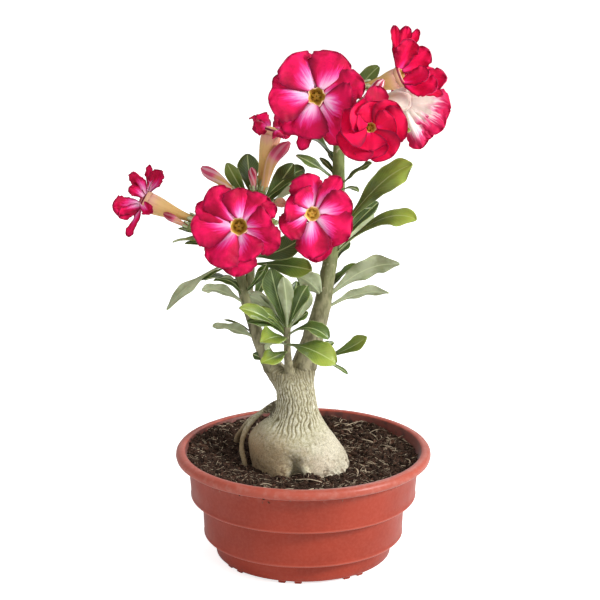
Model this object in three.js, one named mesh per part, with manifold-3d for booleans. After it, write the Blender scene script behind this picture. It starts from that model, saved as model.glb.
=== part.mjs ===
// Potted desert rose (adenium) in a round plastic bowl pot.
// Millimetres, +Z up. The origin is the middle of the pot's underside, on the surface that it stands on,
// and -Y is the side that the open blooms face.
import * as THREE from "three";
import { mergeVertices } from "three/addons/utils/BufferGeometryUtils.js";
import Module from "manifold-3d";

const wasm = await Module();
wasm.setup();

// ---------- driving dimensions ----------
const GAP = 0.3; // air between pieces that touch

const POT = {
  rimRadius: 105,
  height: 92,
  wall: 2,
  floorTop: 5.5, // upper face of the pot's floor
  floorUnder: 2.5, // lower face of the floor, above the feet
  sides: 36,
  drainRadius: 4.5,
  drainCircle: 40,
  drains: 6,
  footPairs: 8,
  footCircle: 67,
};
const TUBE_WALL = 1.2;
const SOIL = { level: 75, edgeLevel: 83, sides: 36, clod: 1.2 };
const BARK_TOP = 161; // height at which the rough bark ends and the smooth stems begin
const SLIVER = 0.2; // vertices closer than this to a flat face or edge are merged away
const SHORT = 0.06; // shorter edges are closed up

// ---------- helpers ----------
const vec = (x, y, z) => new THREE.Vector3(x, y, z);
const lerp = THREE.MathUtils.lerp;
const radians = THREE.MathUtils.degToRad;

// A closed three.js geometry as a solid that can be joined and cut.
function solid(geometry) {
  const bare = geometry.clone();
  bare.deleteAttribute("normal");
  bare.deleteAttribute("uv");
  const merged = mergeVertices(bare, 1e-4);
  return new wasm.Manifold(
    new wasm.Mesh({
      numProp: 3,
      vertProperties: merged.attributes.position.array,
      triVerts: new Uint32Array(merged.index.array),
    }),
  );
}

// The triangles of a mesh, with every edge shorter than SHORT closed up to a point.
function withoutShortEdges({ vertProperties: place, triVerts: corners }) {
  const point = (k) => vec(place[3 * k], place[3 * k + 1], place[3 * k + 2]);
  const home = Array.from({ length: place.length / 3 }, (_, k) => k);
  const find = (k) => (home[k] === k ? k : (home[k] = find(home[k])));
  const faces = [];
  for (let k = 0; k < corners.length; k += 3) {
    const face = Array.from(corners.slice(k, k + 3));
    faces.push(face);
    face.forEach((a, side) => {
      const b = face[(side + 1) % 3];
      if (point(a).distanceTo(point(b)) < SHORT) home[find(a)] = find(b);
    });
  }
  return faces.map((face) => face.map(find)).filter((face) => new Set(face).size === 3);
}

// One named sub-part made of a solid.
function subpart(name, body, color, roughness) {
  const made = body.getMesh();
  const geometry = new THREE.BufferGeometry();
  geometry.setAttribute("position", new THREE.BufferAttribute(made.vertProperties, 3));
  geometry.setIndex(withoutShortEdges(made).flat());
  geometry.computeVertexNormals();
  const mesh = new THREE.Mesh(
    geometry,
    new THREE.MeshStandardMaterial({ color, roughness, metalness: 0 }),
  );
  mesh.name = name;
  return mesh;
}

const join = (bodies) => bodies.reduce((all, body) => all.add(body));

// The largest piece of a body, without the crumbs and the needle-thin triangles that a cut leaves.
function tidied(body) {
  const pieces = body.simplify(SLIVER).decompose();
  return pieces.reduce((most, piece) => (piece.volume() > most.volume() ? piece : most));
}

// A closed geometry from points and triangles.
function shell(points, faces) {
  const geometry = new THREE.BufferGeometry().setFromPoints(points);
  geometry.setIndex(faces.flat());
  return geometry;
}

// A body through rings of equal point counts, capped at both ends.
function loft(rings) {
  const count = rings[0].length;
  const points = rings.flat();
  const faces = [];
  for (let r = 0; r + 1 < rings.length; r++) {
    for (let k = 0; k < count; k++) {
      const a = r * count + k;
      const b = r * count + ((k + 1) % count);
      faces.push([a, b, b + count], [a, b + count, a + count]);
    }
  }
  for (const [first, order] of [[0, -1], [(rings.length - 1) * count, 1]]) {
    const middle = points.length;
    const ring = points.slice(first, first + count);
    points.push(ring.reduce((sum, p) => sum.add(p), vec(0, 0, 0)).divideScalar(count));
    for (let k = 0; k < count; k++) {
      const a = first + k;
      const b = first + ((k + 1) % count);
      faces.push(order > 0 ? [a, b, middle] : [b, a, middle]);
    }
  }
  return solid(shell(points, faces));
}

// Two directions square to an axis; the second is as near a chosen way up as it can be.
function squareTo(axis, upright = Math.abs(axis.z) > 0.95 * axis.length() ? vec(0, 1, 0) : vec(0, 0, 1)) {
  const along = axis.clone().normalize();
  const side = vec(0, 0, 0).crossVectors(upright, along).normalize();
  return { along, side, up: vec(0, 0, 0).crossVectors(along, side) };
}

// A ring of points round a centre, square to an axis.
function ring(centre, axis, radius, sides, upright) {
  const { side, up } = squareTo(axis, upright);
  return Array.from({ length: sides }, (_, k) => {
    const turn = (2 * Math.PI * k) / sides;
    return centre
      .clone()
      .addScaledVector(side, radius * Math.cos(turn))
      .addScaledVector(up, radius * Math.sin(turn));
  });
}

// A round body along a curve, through [share of the curve, radius] pairs.
function alongCurve(curve, profile, sides) {
  const run = curve.getPointAt(1).sub(curve.getPointAt(0)).toArray().map(Math.abs);
  const least = run.indexOf(Math.min(...run)); // one way up for all rings, so that they don't twist
  const upright = vec(0, 0, 0).setComponent(least, 1);
  return loft(
    profile.map(([t, radius]) =>
      ring(curve.getPointAt(t), curve.getTangentAt(t), radius, sides, upright),
    ),
  );
}

// A stem: a smooth curve with a radius at each of its points.
class Stem {
  constructor(points, radii) {
    this.curve = new THREE.CatmullRomCurve3(points.map((p) => vec(...p)));
    this.radii = radii;
  }

  radius(t) {
    const place = t * (this.radii.length - 1);
    const below = Math.min(Math.floor(place), this.radii.length - 2);
    return lerp(this.radii[below], this.radii[below + 1], place - below);
  }

  // The share of the curve at which it reaches a height.
  at(height) {
    let [low, high] = [0, 1];
    for (let k = 0; k < 30; k++) {
      const middle = (low + high) / 2;
      if (this.curve.getPointAt(middle).z < height) low = middle;
      else high = middle;
    }
    return low;
  }

  body(from, to, sides, steps, grow = 0) {
    const profile = [];
    for (let k = 0; k <= steps; k++) {
      const t = lerp(from, to, k / steps);
      profile.push([t, this.radius(t) + grow]);
    }
    return alongCurve(this.curve, profile, sides);
  }
}

// A thin closed blade about a middle surface. Both faces are split into triangles alike.
function blade(surface, rows, columns, thickness) {
  const middle = (i, j) => surface(i / rows, (2 * j) / columns - 1);
  const step = 0.02;
  const points = [];
  for (const face of [1, -1]) {
    for (let i = 0; i <= rows; i++) {
      for (let j = 0; j <= columns; j++) {
        const [u, v] = [i / rows, (2 * j) / columns - 1];
        const along = surface(Math.min(u + step, 1), v).sub(surface(Math.max(u - step, 0), v));
        const across = surface(u, v + step).sub(surface(u, v - step));
        const normal = vec(0, 0, 0).crossVectors(across, along).normalize();
        points.push(middle(i, j).addScaledVector(normal, (face * thickness(u)) / 2));
      }
    }
  }
  const wide = columns + 1;
  const under = (rows + 1) * wide;
  const faces = [];
  for (let i = 0; i < rows; i++) {
    for (let j = 0; j < columns; j++) {
      const a = i * wide + j;
      const [b, c, d] = [a + 1, a + wide, a + wide + 1];
      faces.push([a, b, d], [a, d, c]);
      faces.push([a + under, d + under, b + under], [a + under, c + under, d + under]);
    }
  }
  const edge = [];
  for (let j = 0; j < columns; j++) edge.push(j);
  for (let i = 0; i < rows; i++) edge.push(i * wide + columns);
  for (let j = columns; j > 0; j--) edge.push(rows * wide + j);
  for (let i = rows; i > 0; i--) edge.push(i * wide);
  edge.forEach((a, k) => {
    const b = edge[(k + 1) % edge.length];
    faces.push([a, a + under, b + under], [a, b + under, b]);
  });
  return solid(shell(points, faces));
}

// ---------- pot ----------
// Half of the pot's section, as [radius, height]: three tiers, each set in under the one above.
const TIERS = [
  { bottom: [72, POT.floorUnder], top: [74.5, 20.5] },
  { bottom: [82, 20.5], top: [84, 53.5] },
  { bottom: [92.5, 53.5], top: [95, 84] },
];

function potSection(inset) {
  const outer = TIERS.flatMap(({ bottom, top }) => [bottom, top]);
  return outer.map(([radius, height]) => [radius - inset, height]);
}

function pot() {
  const outside = potSection(0);
  const inside = potSection(POT.wall).map(([radius, height], k) => [
    radius,
    k === 0 ? POT.floorTop : k === 5 ? POT.height - 3 : height + (k % 2 ? POT.wall : POT.wall),
  ]);
  const lip = [
    [POT.rimRadius - 4, POT.height - 8.5],
    [POT.rimRadius - 1.2, POT.height - 7.6],
    [POT.rimRadius, POT.height - 4.6],
    [POT.rimRadius - 1, POT.height - 1.8],
    [POT.rimRadius - 4, POT.height],
    [POT.rimRadius - 8, POT.height - 0.6],
  ];
  const section = [
    [0, POT.floorUnder],
    ...outside,
    ...lip,
    ...inside.reverse(),
    [0, POT.floorTop],
  ].map(([radius, height]) => new THREE.Vector2(radius, height));
  const turned = new THREE.LatheGeometry(section, POT.sides).rotateX(Math.PI / 2);
  let body = solid(turned);

  const footHeight = POT.floorUnder + 1;
  const foot = (radius, angle, size) =>
    solid(
      new THREE.BoxGeometry(size, size, footHeight)
        .translate(radius, 0, footHeight / 2)
        .rotateZ(angle),
    );
  for (let k = 0; k < POT.footPairs; k++) {
    for (const side of [-5.5, 5.5]) {
      const angle = radians(-99 + (360 / POT.footPairs) * k + side);
      body = body.add(foot(POT.footCircle, angle, 6));
    }
  }
  body = body.add(
    solid(
      new THREE.CylinderGeometry(9, 9, footHeight, 16)
        .rotateX(Math.PI / 2)
        .translate(0, 0, footHeight / 2),
    ),
  );
  for (let k = 0; k < POT.drains; k++) {
    const angle = (2 * Math.PI * k) / POT.drains;
    const [x, y] = [POT.drainCircle * Math.cos(angle), POT.drainCircle * Math.sin(angle)];
    body = body.subtract(
      solid(
        new THREE.CylinderGeometry(POT.drainRadius, POT.drainRadius, 20, 10)
          .rotateX(Math.PI / 2)
          .translate(x, y, 0),
      ),
    );
  }
  return tidied(body);
}

// ---------- soil ----------
const clods = (x, y) =>
  Math.sin(x * 0.21 + 1.3) * Math.cos(y * 0.17 - 0.6) + 0.6 * Math.sin(x * 0.43 - y * 0.38);

function soil(plant) {
  const side = potSection(POT.wall + GAP).map(([radius, height], k) => [
    radius,
    k === 0 ? POT.floorTop + GAP : height + POT.wall + (k % 2 ? GAP : GAP),
  ]);
  side.pop();
  const top = [92, 74, 52, 28].map((radius) => [
    radius,
    lerp(SOIL.level, SOIL.edgeLevel, (radius / 92) ** 2),
  ]);
  const section = [[0, POT.floorTop + GAP], ...side, ...top, [0, SOIL.level]];
  const turned = new THREE.LatheGeometry(
    section.map(([radius, height]) => new THREE.Vector2(radius, height)),
    SOIL.sides,
  ).rotateX(Math.PI / 2);
  const place = turned.attributes.position;
  for (let k = 0; k < place.count; k++) {
    const [x, y, z] = [place.getX(k), place.getY(k), place.getZ(k)];
    if (z > SOIL.level - 1) place.setZ(k, z + SOIL.clod * clods(x, y));
  }
  return tidied(solid(turned).subtract(plant));
}

// ---------- caudex: the swollen trunk, its side roots and the feet of the stems ----------
// Levels of the trunk as [height, middle x, half width, half depth], from its buried tip upwards.
const TRUNK = [
  [44, -2, 14, 12],
  [52, -2, 26, 22],
  [62, -2, 36, 31],
  [71, -1.5, 39.5, 34],
  [81, -3.5, 40, 36],
  [92, -7, 38.5, 35],
  [102, -9.5, 34.5, 32],
  [110, -9, 28.5, 27],
  [118, -6.5, 21.5, 21],
  [126, -5.5, 17.5, 17.5],
  [138, -6, 15.8, 15.5],
  [148, -8, 16.6, 15],
  [156, -9, 18, 14.5],
];
const TRUNK_SIDES = 22;
// Clefts between the lobes of the bulb, as [angle, depth share, half width in radians].
const CLEFTS = [
  [-96, 0.2, 0.2],
  [-48, -0.07, 0.5],
  [-130, -0.03, 0.4],
  [60, 0.12, 0.3],
  [170, 0.07, 0.3],
];

function trunkRadius(angle, height) {
  let share = 1;
  const low = 1 - THREE.MathUtils.smoothstep(height, 72, 104);
  for (const [at, depth, spread] of CLEFTS) {
    const away = Math.atan2(Math.sin(angle - radians(at)), Math.cos(angle - radians(at)));
    share -= depth * low * Math.exp(-((away / spread) ** 2));
  }
  return share;
}

function trunk(grow) {
  const rings = TRUNK.map(([height, middle, halfWidth, halfDepth], level) => {
    const sink = level === 0 ? grow * 2 : 0;
    return Array.from({ length: TRUNK_SIDES }, (_, k) => {
      const angle = (2 * Math.PI * k) / TRUNK_SIDES;
      const share = trunkRadius(angle, height);
      return vec(
        middle + (halfWidth * share + grow) * Math.cos(angle),
        (halfDepth * share + grow) * Math.sin(angle),
        height - sink,
      );
    });
  });
  return loft(rings);
}

// Side roots that leave the neck at the left and run down into the soil.
const SIDE_ROOTS = [
  new Stem([[-12, 6, 134], [-25, 9, 127], [-40, 12, 114], [-50, 12, 98], [-53, 10, 72]], [4, 3.4, 3.2, 2.8, 2.4]),
  new Stem([[-12, 4, 130], [-26, 6, 122], [-39, 6, 109], [-46, 1, 94], [-48, -4, 70]], [4, 3.6, 3.2, 2.8, 2.2]),
  new Stem([[2, 12, 118], [8, 26, 110], [12, 38, 98], [13, 46, 86], [14, 50, 70]], [3, 3.4, 3.4, 3, 2.2]),
  new Stem([[0, -28, 90], [0, -33, 84], [1, -37, 78], [2, -39, 66]], [3, 3.6, 3, 2]),
];

// ---------- stems ----------
const STEMS = {
  left: new Stem(
    [[-14, 1, 146], [-26, 0, 163], [-36, -1, 184], [-41, -1, 201], [-46, 0, 217], [-51, 0, 237], [-56, -2, 258], [-59, -3, 274]],
    [10, 7.5, 5.6, 5, 4.8, 4.3, 3.6, 3],
  ),
  leftInner: new Stem(
    [[-45, 0, 212], [-43, 4, 238], [-41, 8, 262], [-40, 10, 284], [-40, 10, 300]],
    [3.4, 3.6, 3.4, 3.2, 2.8],
  ),
  right: new Stem(
    [[-4, 1, 144], [1, 2, 164], [8, 4, 184], [13, 5, 202], [17, 6, 220], [21, 8, 245], [25, 8, 275], [28, 8, 305], [28, 8, 335], [29, 7, 366]],
    [12, 9.6, 8, 6.8, 6, 5.8, 5.4, 5, 4.6, 3.4],
  ),
  middle: new Stem([[-10, -3, 148], [-12, -9, 165], [-13, -14, 184], [-13, -16, 204]], [4.5, 3.4, 2.7, 2.6]),
};

const barkEnd = (stem) => stem.at(BARK_TOP);
const gapShare = (stem) => GAP / stem.curve.getLength();

function caudex(grow) {
  const feet = ["left", "right", "middle"].map((name) =>
    STEMS[name].body(0.02, barkEnd(STEMS[name]), 12, 3, grow),
  );
  const roots = SIDE_ROOTS.map((root) => root.body(0, 1, 6, 6, grow));
  const body = join([trunk(grow), ...feet, ...roots]);
  return grow ? body.add(body.translate(0, 0, -grow)) : body; // a grown copy reaches lower too
}

// ---------- ribbons: leaves and petals ----------
// Half width of a ribbon as a share of its widest, from its root (0) to its tip (1).
function outline(u, { stalk, swell }) {
  const widest = 0.74;
  const blunt =
    u < widest
      ? Math.sin((Math.PI / 2) * (u / widest) ** swell)
      : Math.sqrt(1 - ((u - widest) / 0.275) ** 2);
  return stalk + (1 - stalk) * blunt;
}

const LEAF = { stalk: 0.08, swell: 1.9, rows: 4, columns: 2, thickness: 0.8 };
const PETAL = { stalk: 0.3, swell: 0.9, rows: 3, columns: 2, thickness: 0.8 };

// A blade from a root to a tip. face is where its upper side looks, arch its bow as a share of its length,
// fold the rise of its halves from the rib, wave the height of its edge's ripples, and swell how late it
// widens.
function ribbon(kind, shape) {
  const { root, tip, width, face, arch = 0.12, fold = 0.25, wave = 1.2, ripples = 2 } = shape;
  const form = { ...kind, swell: shape.swell ?? kind.swell };
  const slim = width < 9;
  const length = root.distanceTo(tip);
  const look = face.clone().normalize();
  const bend = root.clone().lerp(tip, 0.5).addScaledVector(look, 2 * arch * length);
  const rib = new THREE.QuadraticBezierCurve3(root, bend, tip);
  const surface = (u, v) => {
    const along = rib.getTangent(u);
    const side = vec(0, 0, 0).crossVectors(along, look).normalize();
    const up = vec(0, 0, 0).crossVectors(side, along);
    const half = (width / 2) * outline(u, form);
    const phase = 2 * Math.PI * ripples * u + (v > 0 ? 0 : 1.9);
    const ripple = wave * Math.sin(phase) * v * v * Math.min(1, 2 * u);
    return rib
      .getPoint(u)
      .addScaledVector(side, half * v)
      .addScaledVector(up, fold * half * Math.abs(v) + ripple)
      .addScaledVector(along, -0.35 * half * v * v * u ** 3);
  };
  const thickness = (u) => kind.thickness + 1.2 * (1 - u) ** 3;
  return blade(surface, slim ? 3 : kind.rows, slim ? 1 : kind.columns, thickness);
}

// ---------- leaves ----------
// Each leaf: the height on its stem that it leaves from, its tip, width and upper side.
const LEAVES = {
  left: [
    { from: 250, tip: [-105, -18, 210], width: 15, face: [-0.3, -0.6, 0.8], arch: 0.2 },
    { from: 216, tip: [-79, -12, 226], width: 13, face: [0.2, 0.9, 0.4], arch: -0.1 },
    { from: 220, tip: [-70, 8, 237], width: 11, face: [-0.2, -0.6, 0.9], arch: 0.18 },
    { from: 188, tip: [-71, -8, 198], width: 12, face: [0.2, 0.8, 0.5], arch: -0.14 },
    { from: 222, tip: [-29, -10, 250], width: 9, face: [0.3, -0.8, 0.3] },
    { from: 266, tip: [-100, -2, 277], width: 6, face: [0, -0.5, 0.9], arch: 0.04, wave: 0.3 },
    { from: 262, tip: [-94, -16, 268], width: 6, face: [0, -0.5, 0.9], arch: 0.06, wave: 0.3 },
  ],
  leftInner: [
    { from: 290, tip: [-60, 10, 328], width: 13, face: [-0.2, -1, 0.3], arch: 0.08 },
    { from: 294, tip: [-50, 22, 332], width: 14, face: [-0.1, -1, 0.3], arch: 0.08 },
    { from: 282, tip: [-8, 18, 326], width: 16, face: [0.2, -1, 0.4], arch: 0.06 },
    { from: 288, tip: [1, 24, 320], width: 15, face: [0.1, -0.6, 0.8], arch: 0.16 },
    { from: 278, tip: [16, -8, 314], width: 14, face: [-0.2, 0.7, 0.7], arch: 0.14 },
    { from: 246, tip: [9, -22, 258], width: 25, face: [0, -0.75, 0.7], arch: 0.08, wave: 2 },
  ],
  right: [
    { from: 262, tip: [87, -6, 333], width: 22, face: [-0.35, -0.8, 0.45], arch: 0.05, wave: 1.8, swell: 2.8 },
    { from: 246, tip: [88, -14, 288], width: 19, face: [-0.3, -0.7, 0.7], arch: 0.2, wave: 1.6, swell: 2.8 },
    { from: 250, tip: [61, 20, 278], width: 18, face: [0.3, 0.8, 0.4], arch: -0.04 },
    { from: 260, tip: [61, 30, 284], width: 11, face: [-0.4, -0.8, 0.4], arch: 0.04 },
    { from: 226, tip: [75, -16, 250], width: 16, face: [0.2, 0.9, 0.3], arch: -0.06, wave: 2.2 },
    { from: 210, tip: [66, 0, 225], width: 13, face: [0.1, 0.8, 0.5], arch: -0.06, wave: 1.6 },
    { from: 236, tip: [38, 22, 258], width: 9, face: [-0.4, -0.7, 0.5] },
    { from: 308, tip: [54, -10, 332], width: 7, face: [-0.4, -0.5, 0.8], arch: 0.06 },
    { from: 304, tip: [44, -6, 308], width: 6, face: [0, -0.4, 1], arch: 0.2, wave: 0.3 },
    { from: 312, tip: [-6, 0, 336], width: 10, face: [0.3, -0.7, 0.8], arch: 0.06 },
    { from: 312, tip: [13, 16, 331], width: 6, face: [0.5, -0.8, 0.4], wave: 0.3 },
    { from: 318, tip: [20, 22, 336], width: 6, face: [0.3, -0.8, 0.3], wave: 0.3 },
    { from: 328, tip: [44, 22, 352], width: 8, face: [-0.4, -0.7, 0.6] },
    { from: 356, tip: [58, 24, 404], width: 14, face: [-0.4, -0.9, 0.5], arch: 0.12 },
    { from: 346, tip: [88, -8, 374], width: 14, face: [-0.2, -0.6, 1], arch: 0.04, swell: 2.4 },
    { from: 170, tip: [50, -8, 186], width: 11, face: [-0.4, -0.8, 0.5], arch: 0.04, wave: 0.4, swell: 2.8 },
    { from: 168, tip: [36, -5, 157], width: 6, face: [0.3, -0.3, 0.9], arch: 0.14, wave: 0.3 },
    { from: 167, tip: [25, 12, 178], width: 7, face: [-0.3, -0.8, 0.5], wave: 0.3 },
    { from: 214, tip: [-11, -2, 238], width: 15, face: [0, 0.9, 0.3], arch: -0.04, wave: 1.6 },
  ],
  middle: [
    { from: 188, tip: [26, -42, 177], width: 18, face: [0.1, -0.6, 0.8], arch: 0.14, wave: 1.6 },
    { from: 196, tip: [19, -28, 188], width: 13, face: [0.2, -0.5, 0.9], arch: 0.16 },
    { from: 199, tip: [-17, -22, 246], width: 15, face: [0.1, -1, 0.2], arch: 0.04 },
    { from: 200, tip: [2, -26, 226], width: 11, face: [-0.2, -1, 0.2], arch: 0.04 },
    { from: 201, tip: [-5, -4, 234], width: 9, face: [0, -1, 0.3] },
    { from: 200, tip: [5, -14, 205], width: 8, face: [-0.2, -0.6, 0.8], arch: 0.06 },
    { from: 198, tip: [-36, -36, 206], width: 9, face: [0.1, -0.7, 0.7], arch: 0.1 },
    { from: 196, tip: [-50, -26, 211], width: 8, face: [0.1, -0.7, 0.7], arch: 0.08 },
    { from: 202, tip: [-42, -14, 220], width: 9, face: [0.2, 0.6, 0.6], arch: -0.04 },
    { from: 192, tip: [-32, -38, 185], width: 13, face: [-0.1, -0.5, 0.9], arch: 0.16 },
    { from: 184, tip: [-31, -34, 173], width: 9, face: [-0.1, -0.6, 0.8], arch: 0.14 },
  ],
};

// Leaves of the far side, set by the golden angle that such leaves follow round their stem.
function farLeaves(stem, low, high, count, firstAngle) {
  return Array.from({ length: count }, (_, k) => {
    const from = lerp(low, high, k / Math.max(1, count - 1));
    const angle = radians(firstAngle + ((137.5 * k) % 150));
    const reach = 42 + 9 * Math.sin(3.7 * k + firstAngle);
    const at = stem.curve.getPointAt(stem.at(from));
    const out = vec(Math.cos(angle), Math.sin(angle), 0);
    const tip = at.addScaledVector(out, reach).add(vec(0, 0, 14 + 10 * Math.cos(2.3 * k)));
    return {
      from,
      tip: tip.toArray(),
      width: 14 + 3 * Math.sin(5.1 * k),
      face: [-0.3 * out.x, -0.3 * out.y, 1],
    };
  });
}

LEAVES.left.push(...farLeaves(STEMS.left, 205, 256, 3, 70));
LEAVES.leftInner.push(...farLeaves(STEMS.leftInner, 250, 284, 2, 60));
LEAVES.right.push(...farLeaves(STEMS.right, 216, 326, 4, 30));

function leaf(stem, shape) {
  const root = stem.curve.getPointAt(stem.at(shape.from));
  return ribbon(LEAF, { ...shape, root, tip: vec(...shape.tip), face: vec(...shape.face) });
}

// ---------- blooms ----------
// Each bloom: the mouth of its tube, the way it faces, the size of its throat, the stem and height that its
// stalk leaves and where its tube begins. Petals of the blooms seen from in front are given as
// [angle, reach, width, rise of the tip, layer], and those seen from beside as [tip, width, upper side].
const BLOOMS = {
  bloom_upper_left: {
    mouth: [10, -40, 390], face: [0, -1, 0.22], throat: 1, stem: "right", from: 356, base: [17, -4, 380],
    petals: [
      [68, 36, 30, 5, 0], [130, 37, 30, 5, 0], [188, 37, 28, 4, 0], [250, 33, 30, 4, 0], [345, 27, 27, 5, 0],
      [24, 34, 27, 3, 1], [225, 38, 24, -1, 2], [297, 40, 22, -2, 2], [98, 33, 17, 0, 2], [162, 37, 20, 0, 2],
    ],
  },
  bloom_upper_right: {
    mouth: [51, -58, 369], face: [0.15, -1, 0.2], throat: 0.8, stem: "right", from: 342, base: [43, -20, 362],
    petals: [
      [18, 30, 27, 8, 0], [312, 31, 28, 7, 0], [262, 27, 25, 8, 0], [188, 23, 24, 13, 0], [122, 20, 20, 13, 0],
      [60, 19, 18, 12, 0], [76, 31, 19, 1, 1], [230, 32, 23, 3, 1], [158, 25, 22, 5, 1],
    ],
  },
  bloom_lower_left: {
    mouth: [-50, -50, 290], face: [0, -1, 0.24], throat: 1, stem: "left", from: 270, base: [-55, -12, 281],
    petals: [
      [180, 36, 29, 4, 0], [236, 34, 28, 4, 0], [291, 28, 23, 5, 0], [8, 26, 24, 5, 0], [90, 29, 24, 3, 0],
      [127, 37, 25, 0, 1], [150, 37, 20, -2, 2], [42, 32, 25, 0, 1], [334, 34, 26, 0, 1], [268, 39, 27, -1, 2],
    ],
  },
  bloom_lower_right: {
    mouth: [7, -37, 297], face: [0.08, -1, 0.2], throat: 0.87, stem: "right", from: 244, base: [6, -4, 290],
    petals: [
      [326, 34, 30, 4, 0], [16, 32, 24, 5, 0], [157, 23, 22, 6, 0], [114, 22, 18, 8, 0], [267, 35, 25, 3, 0],
      [99, 32, 28, 0, 1], [53, 36, 16, 3, 1], [206, 28, 22, 2, 1],
    ],
  },
  bloom_far_left: {
    mouth: [-124, 5, 299], face: [-0.9, 0.15, 0.42], throat: 1, stem: "left", from: 268, base: [-86, -2, 284],
    petals: [
      [[-136, -10, 325], 13, [-0.4, -1, 0]], [[-111, 18, 319], 14, [-0.5, -0.9, 0.4]],
      [[-121, 14, 328], 7, [-0.6, -0.8, 0]], [[-153, -6, 293], 15, [-0.3, -0.9, 0.5]],
      [[-145, 14, 302], 11, [-0.6, -0.6, 0.6]], [[-142, 8, 269], 7, [-0.9, -0.6, 0]],
      [[-121, -10, 289], 9, [-0.2, -1, 0.3]], [[-132, 30, 296], 13, [-0.9, 0.4, 0.4]],
    ],
  },
  bloom_top_right: {
    mouth: [78, -2, 400], face: [0.85, -0.2, 0.42], throat: 1, stem: "right", from: 360, base: [47, 4, 391],
    petals: [
      [[72, -8, 441], 10, [0.3, -1, 0.1]], [[86, 2, 441], 18, [0.3, -1, 0.2]], [[94, 14, 436], 12, [0.4, -0.9, 0.2]],
      [[106, 16, 416], 16, [0.3, -0.9, 0.4]], [[114, -4, 395], 23, [0.3, -0.8, 0.5]],
      [[108, -14, 384], 18, [0.3, -0.8, 0.5]], [[84, -24, 426], 19, [0.2, -1, 0.2]],
      [[97, -26, 408], 19, [0.3, -0.9, 0.3]], [[104, 24, 400], 18, [0.9, 0.4, 0.3]],
    ],
  },
  bloom_far_right: {
    mouth: [80, 24, 374], face: [0.5, 0.75, -0.35], throat: 1, stem: "right", from: 350, base: [46, 10, 366],
    petals: [
      [[117, 18, 366], 32, [0.3, 0.9, -0.2]], [[95, 12, 339], 17, [0.3, 0.9, -0.3]],
      [[110, 10, 351], 16, [0.2, 0.9, -0.3]], [[74, 42, 386], 24, [0.5, 0.7, -0.2]],
      [[100, 42, 390], 24, [0.6, 0.7, 0]], [[80, 46, 350], 24, [0.5, 0.7, -0.5]],
    ],
  },
  bloom_upright: {
    mouth: [-24, 5, 357], face: [0.25, 0.08, 0.95], throat: 1, stem: "leftInner", from: 296, base: [-35, 7, 311],
    petals: [
      [[-44, -4, 363], 16, [0.2, -0.6, 0.7]], [[-38, 24, 370], 18, [0.3, -0.6, 0.7]],
      [[-10, 28, 364], 20, [0, -0.3, 1]], [[0, 6, 358], 19, [0.1, 0, 1]], [[-15, -13, 353], 16, [0, -0.2, 1]],
    ],
  },
};

const curveThrough = (points) => new THREE.CatmullRomCurve3(points.map((p) => vec(...p)));

// The ring that a bloom's petals grow from.
const COLLAR = { depth: 5, inner: 6.6, outer: 8.8 };

// The line of a bloom's tube, from its base to just under the collar at its mouth.
function tubeLine({ mouth, face, base }) {
  const axis = vec(...face).normalize();
  const start = vec(...base);
  const end = vec(...mouth).addScaledVector(axis, -COLLAR.depth - GAP);
  const before = end.clone().addScaledVector(axis, -10);
  return new THREE.CubicBezierCurve3(start, start.clone().lerp(before, 0.5), before, end);
}

// The outside radius of a tube: a narrow foot, then a funnel that opens to the throat.
const tubeRadius = (t, throat) => 3 + (8 * throat - 3) * THREE.MathUtils.smoothstep(t, 0.1, 0.95);

function bloomTube(bloom) {
  const { throat } = bloom;
  const line = tubeLine(bloom);
  const outside = [0, 0.3, 0.55, 0.78, 1].map((t) => [t, tubeRadius(t, throat)]);
  const inside = [1, 0.72].map((t) => [t, tubeRadius(t, throat) - TUBE_WALL]);
  return alongCurve(line, [...outside, ...inside], 8);
}

// The collar in the bloom's own frame: +Z is the way that it faces.
function collar(throat) {
  const section = [
    [COLLAR.outer - 0.9, -COLLAR.depth],
    [COLLAR.outer, -1.5],
    [COLLAR.outer, 0.8],
    [COLLAR.inner, 0.8],
    [COLLAR.inner, -COLLAR.depth],
    [COLLAR.outer - 0.9, -COLLAR.depth],
  ];
  const turned = section.map(([r, z]) => new THREE.Vector2(r * throat, z));
  return solid(new THREE.LatheGeometry(turned, 8).rotateX(Math.PI / 2));
}

function bloomFrame({ mouth, face }) {
  const { side, up, along } = squareTo(vec(...face));
  return new THREE.Matrix4().makeBasis(side, up, along).setPosition(...mouth);
}

// A petal of a bloom that is seen from in front.
function frontPetal(throat, [angle, reach, width, rise, layer]) {
  const turn = radians(angle);
  const out = vec(Math.cos(turn), Math.sin(turn), 0);
  const side = vec(-Math.sin(turn), Math.cos(turn), 0);
  const start = COLLAR.outer * throat - 1.4;
  return ribbon(PETAL, {
    root: out.clone().multiplyScalar(start).setZ(-0.4 - 1.1 * layer),
    tip: out.clone().multiplyScalar(reach).setZ(rise),
    width,
    face: side.multiplyScalar(-0.16).add(vec(0, 0, 1)),
    arch: -0.03,
    fold: -0.06,
    wave: 0.8,
    ripples: 1.3,
  });
}

// A petal of a bloom that is seen from beside, with its tip already in the bloom's own frame.
function sidePetal(throat, tip, width, face) {
  const out = tip.clone().setZ(0).normalize();
  const root = out.clone().multiplyScalar(COLLAR.outer * throat - 1.4).setZ(-0.6);
  return ribbon(PETAL, { root, tip, width, face, arch: -0.07, fold: 0.1, wave: 1, ripples: 1.5 });
}

function bloomPetals(bloom) {
  const frame = bloomFrame(bloom);
  const inwards = frame.clone().invert();
  const { throat } = bloom;
  const petals = bloom.petals.map((each) =>
    Array.isArray(each[0])
      ? sidePetal(
          throat,
          vec(...each[0]).applyMatrix4(inwards),
          each[1],
          vec(...each[2]).transformDirection(inwards),
        )
      : frontPetal(throat, each),
  );
  return tidied(join([collar(throat), ...petals])).transform(frame.elements);
}

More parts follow.
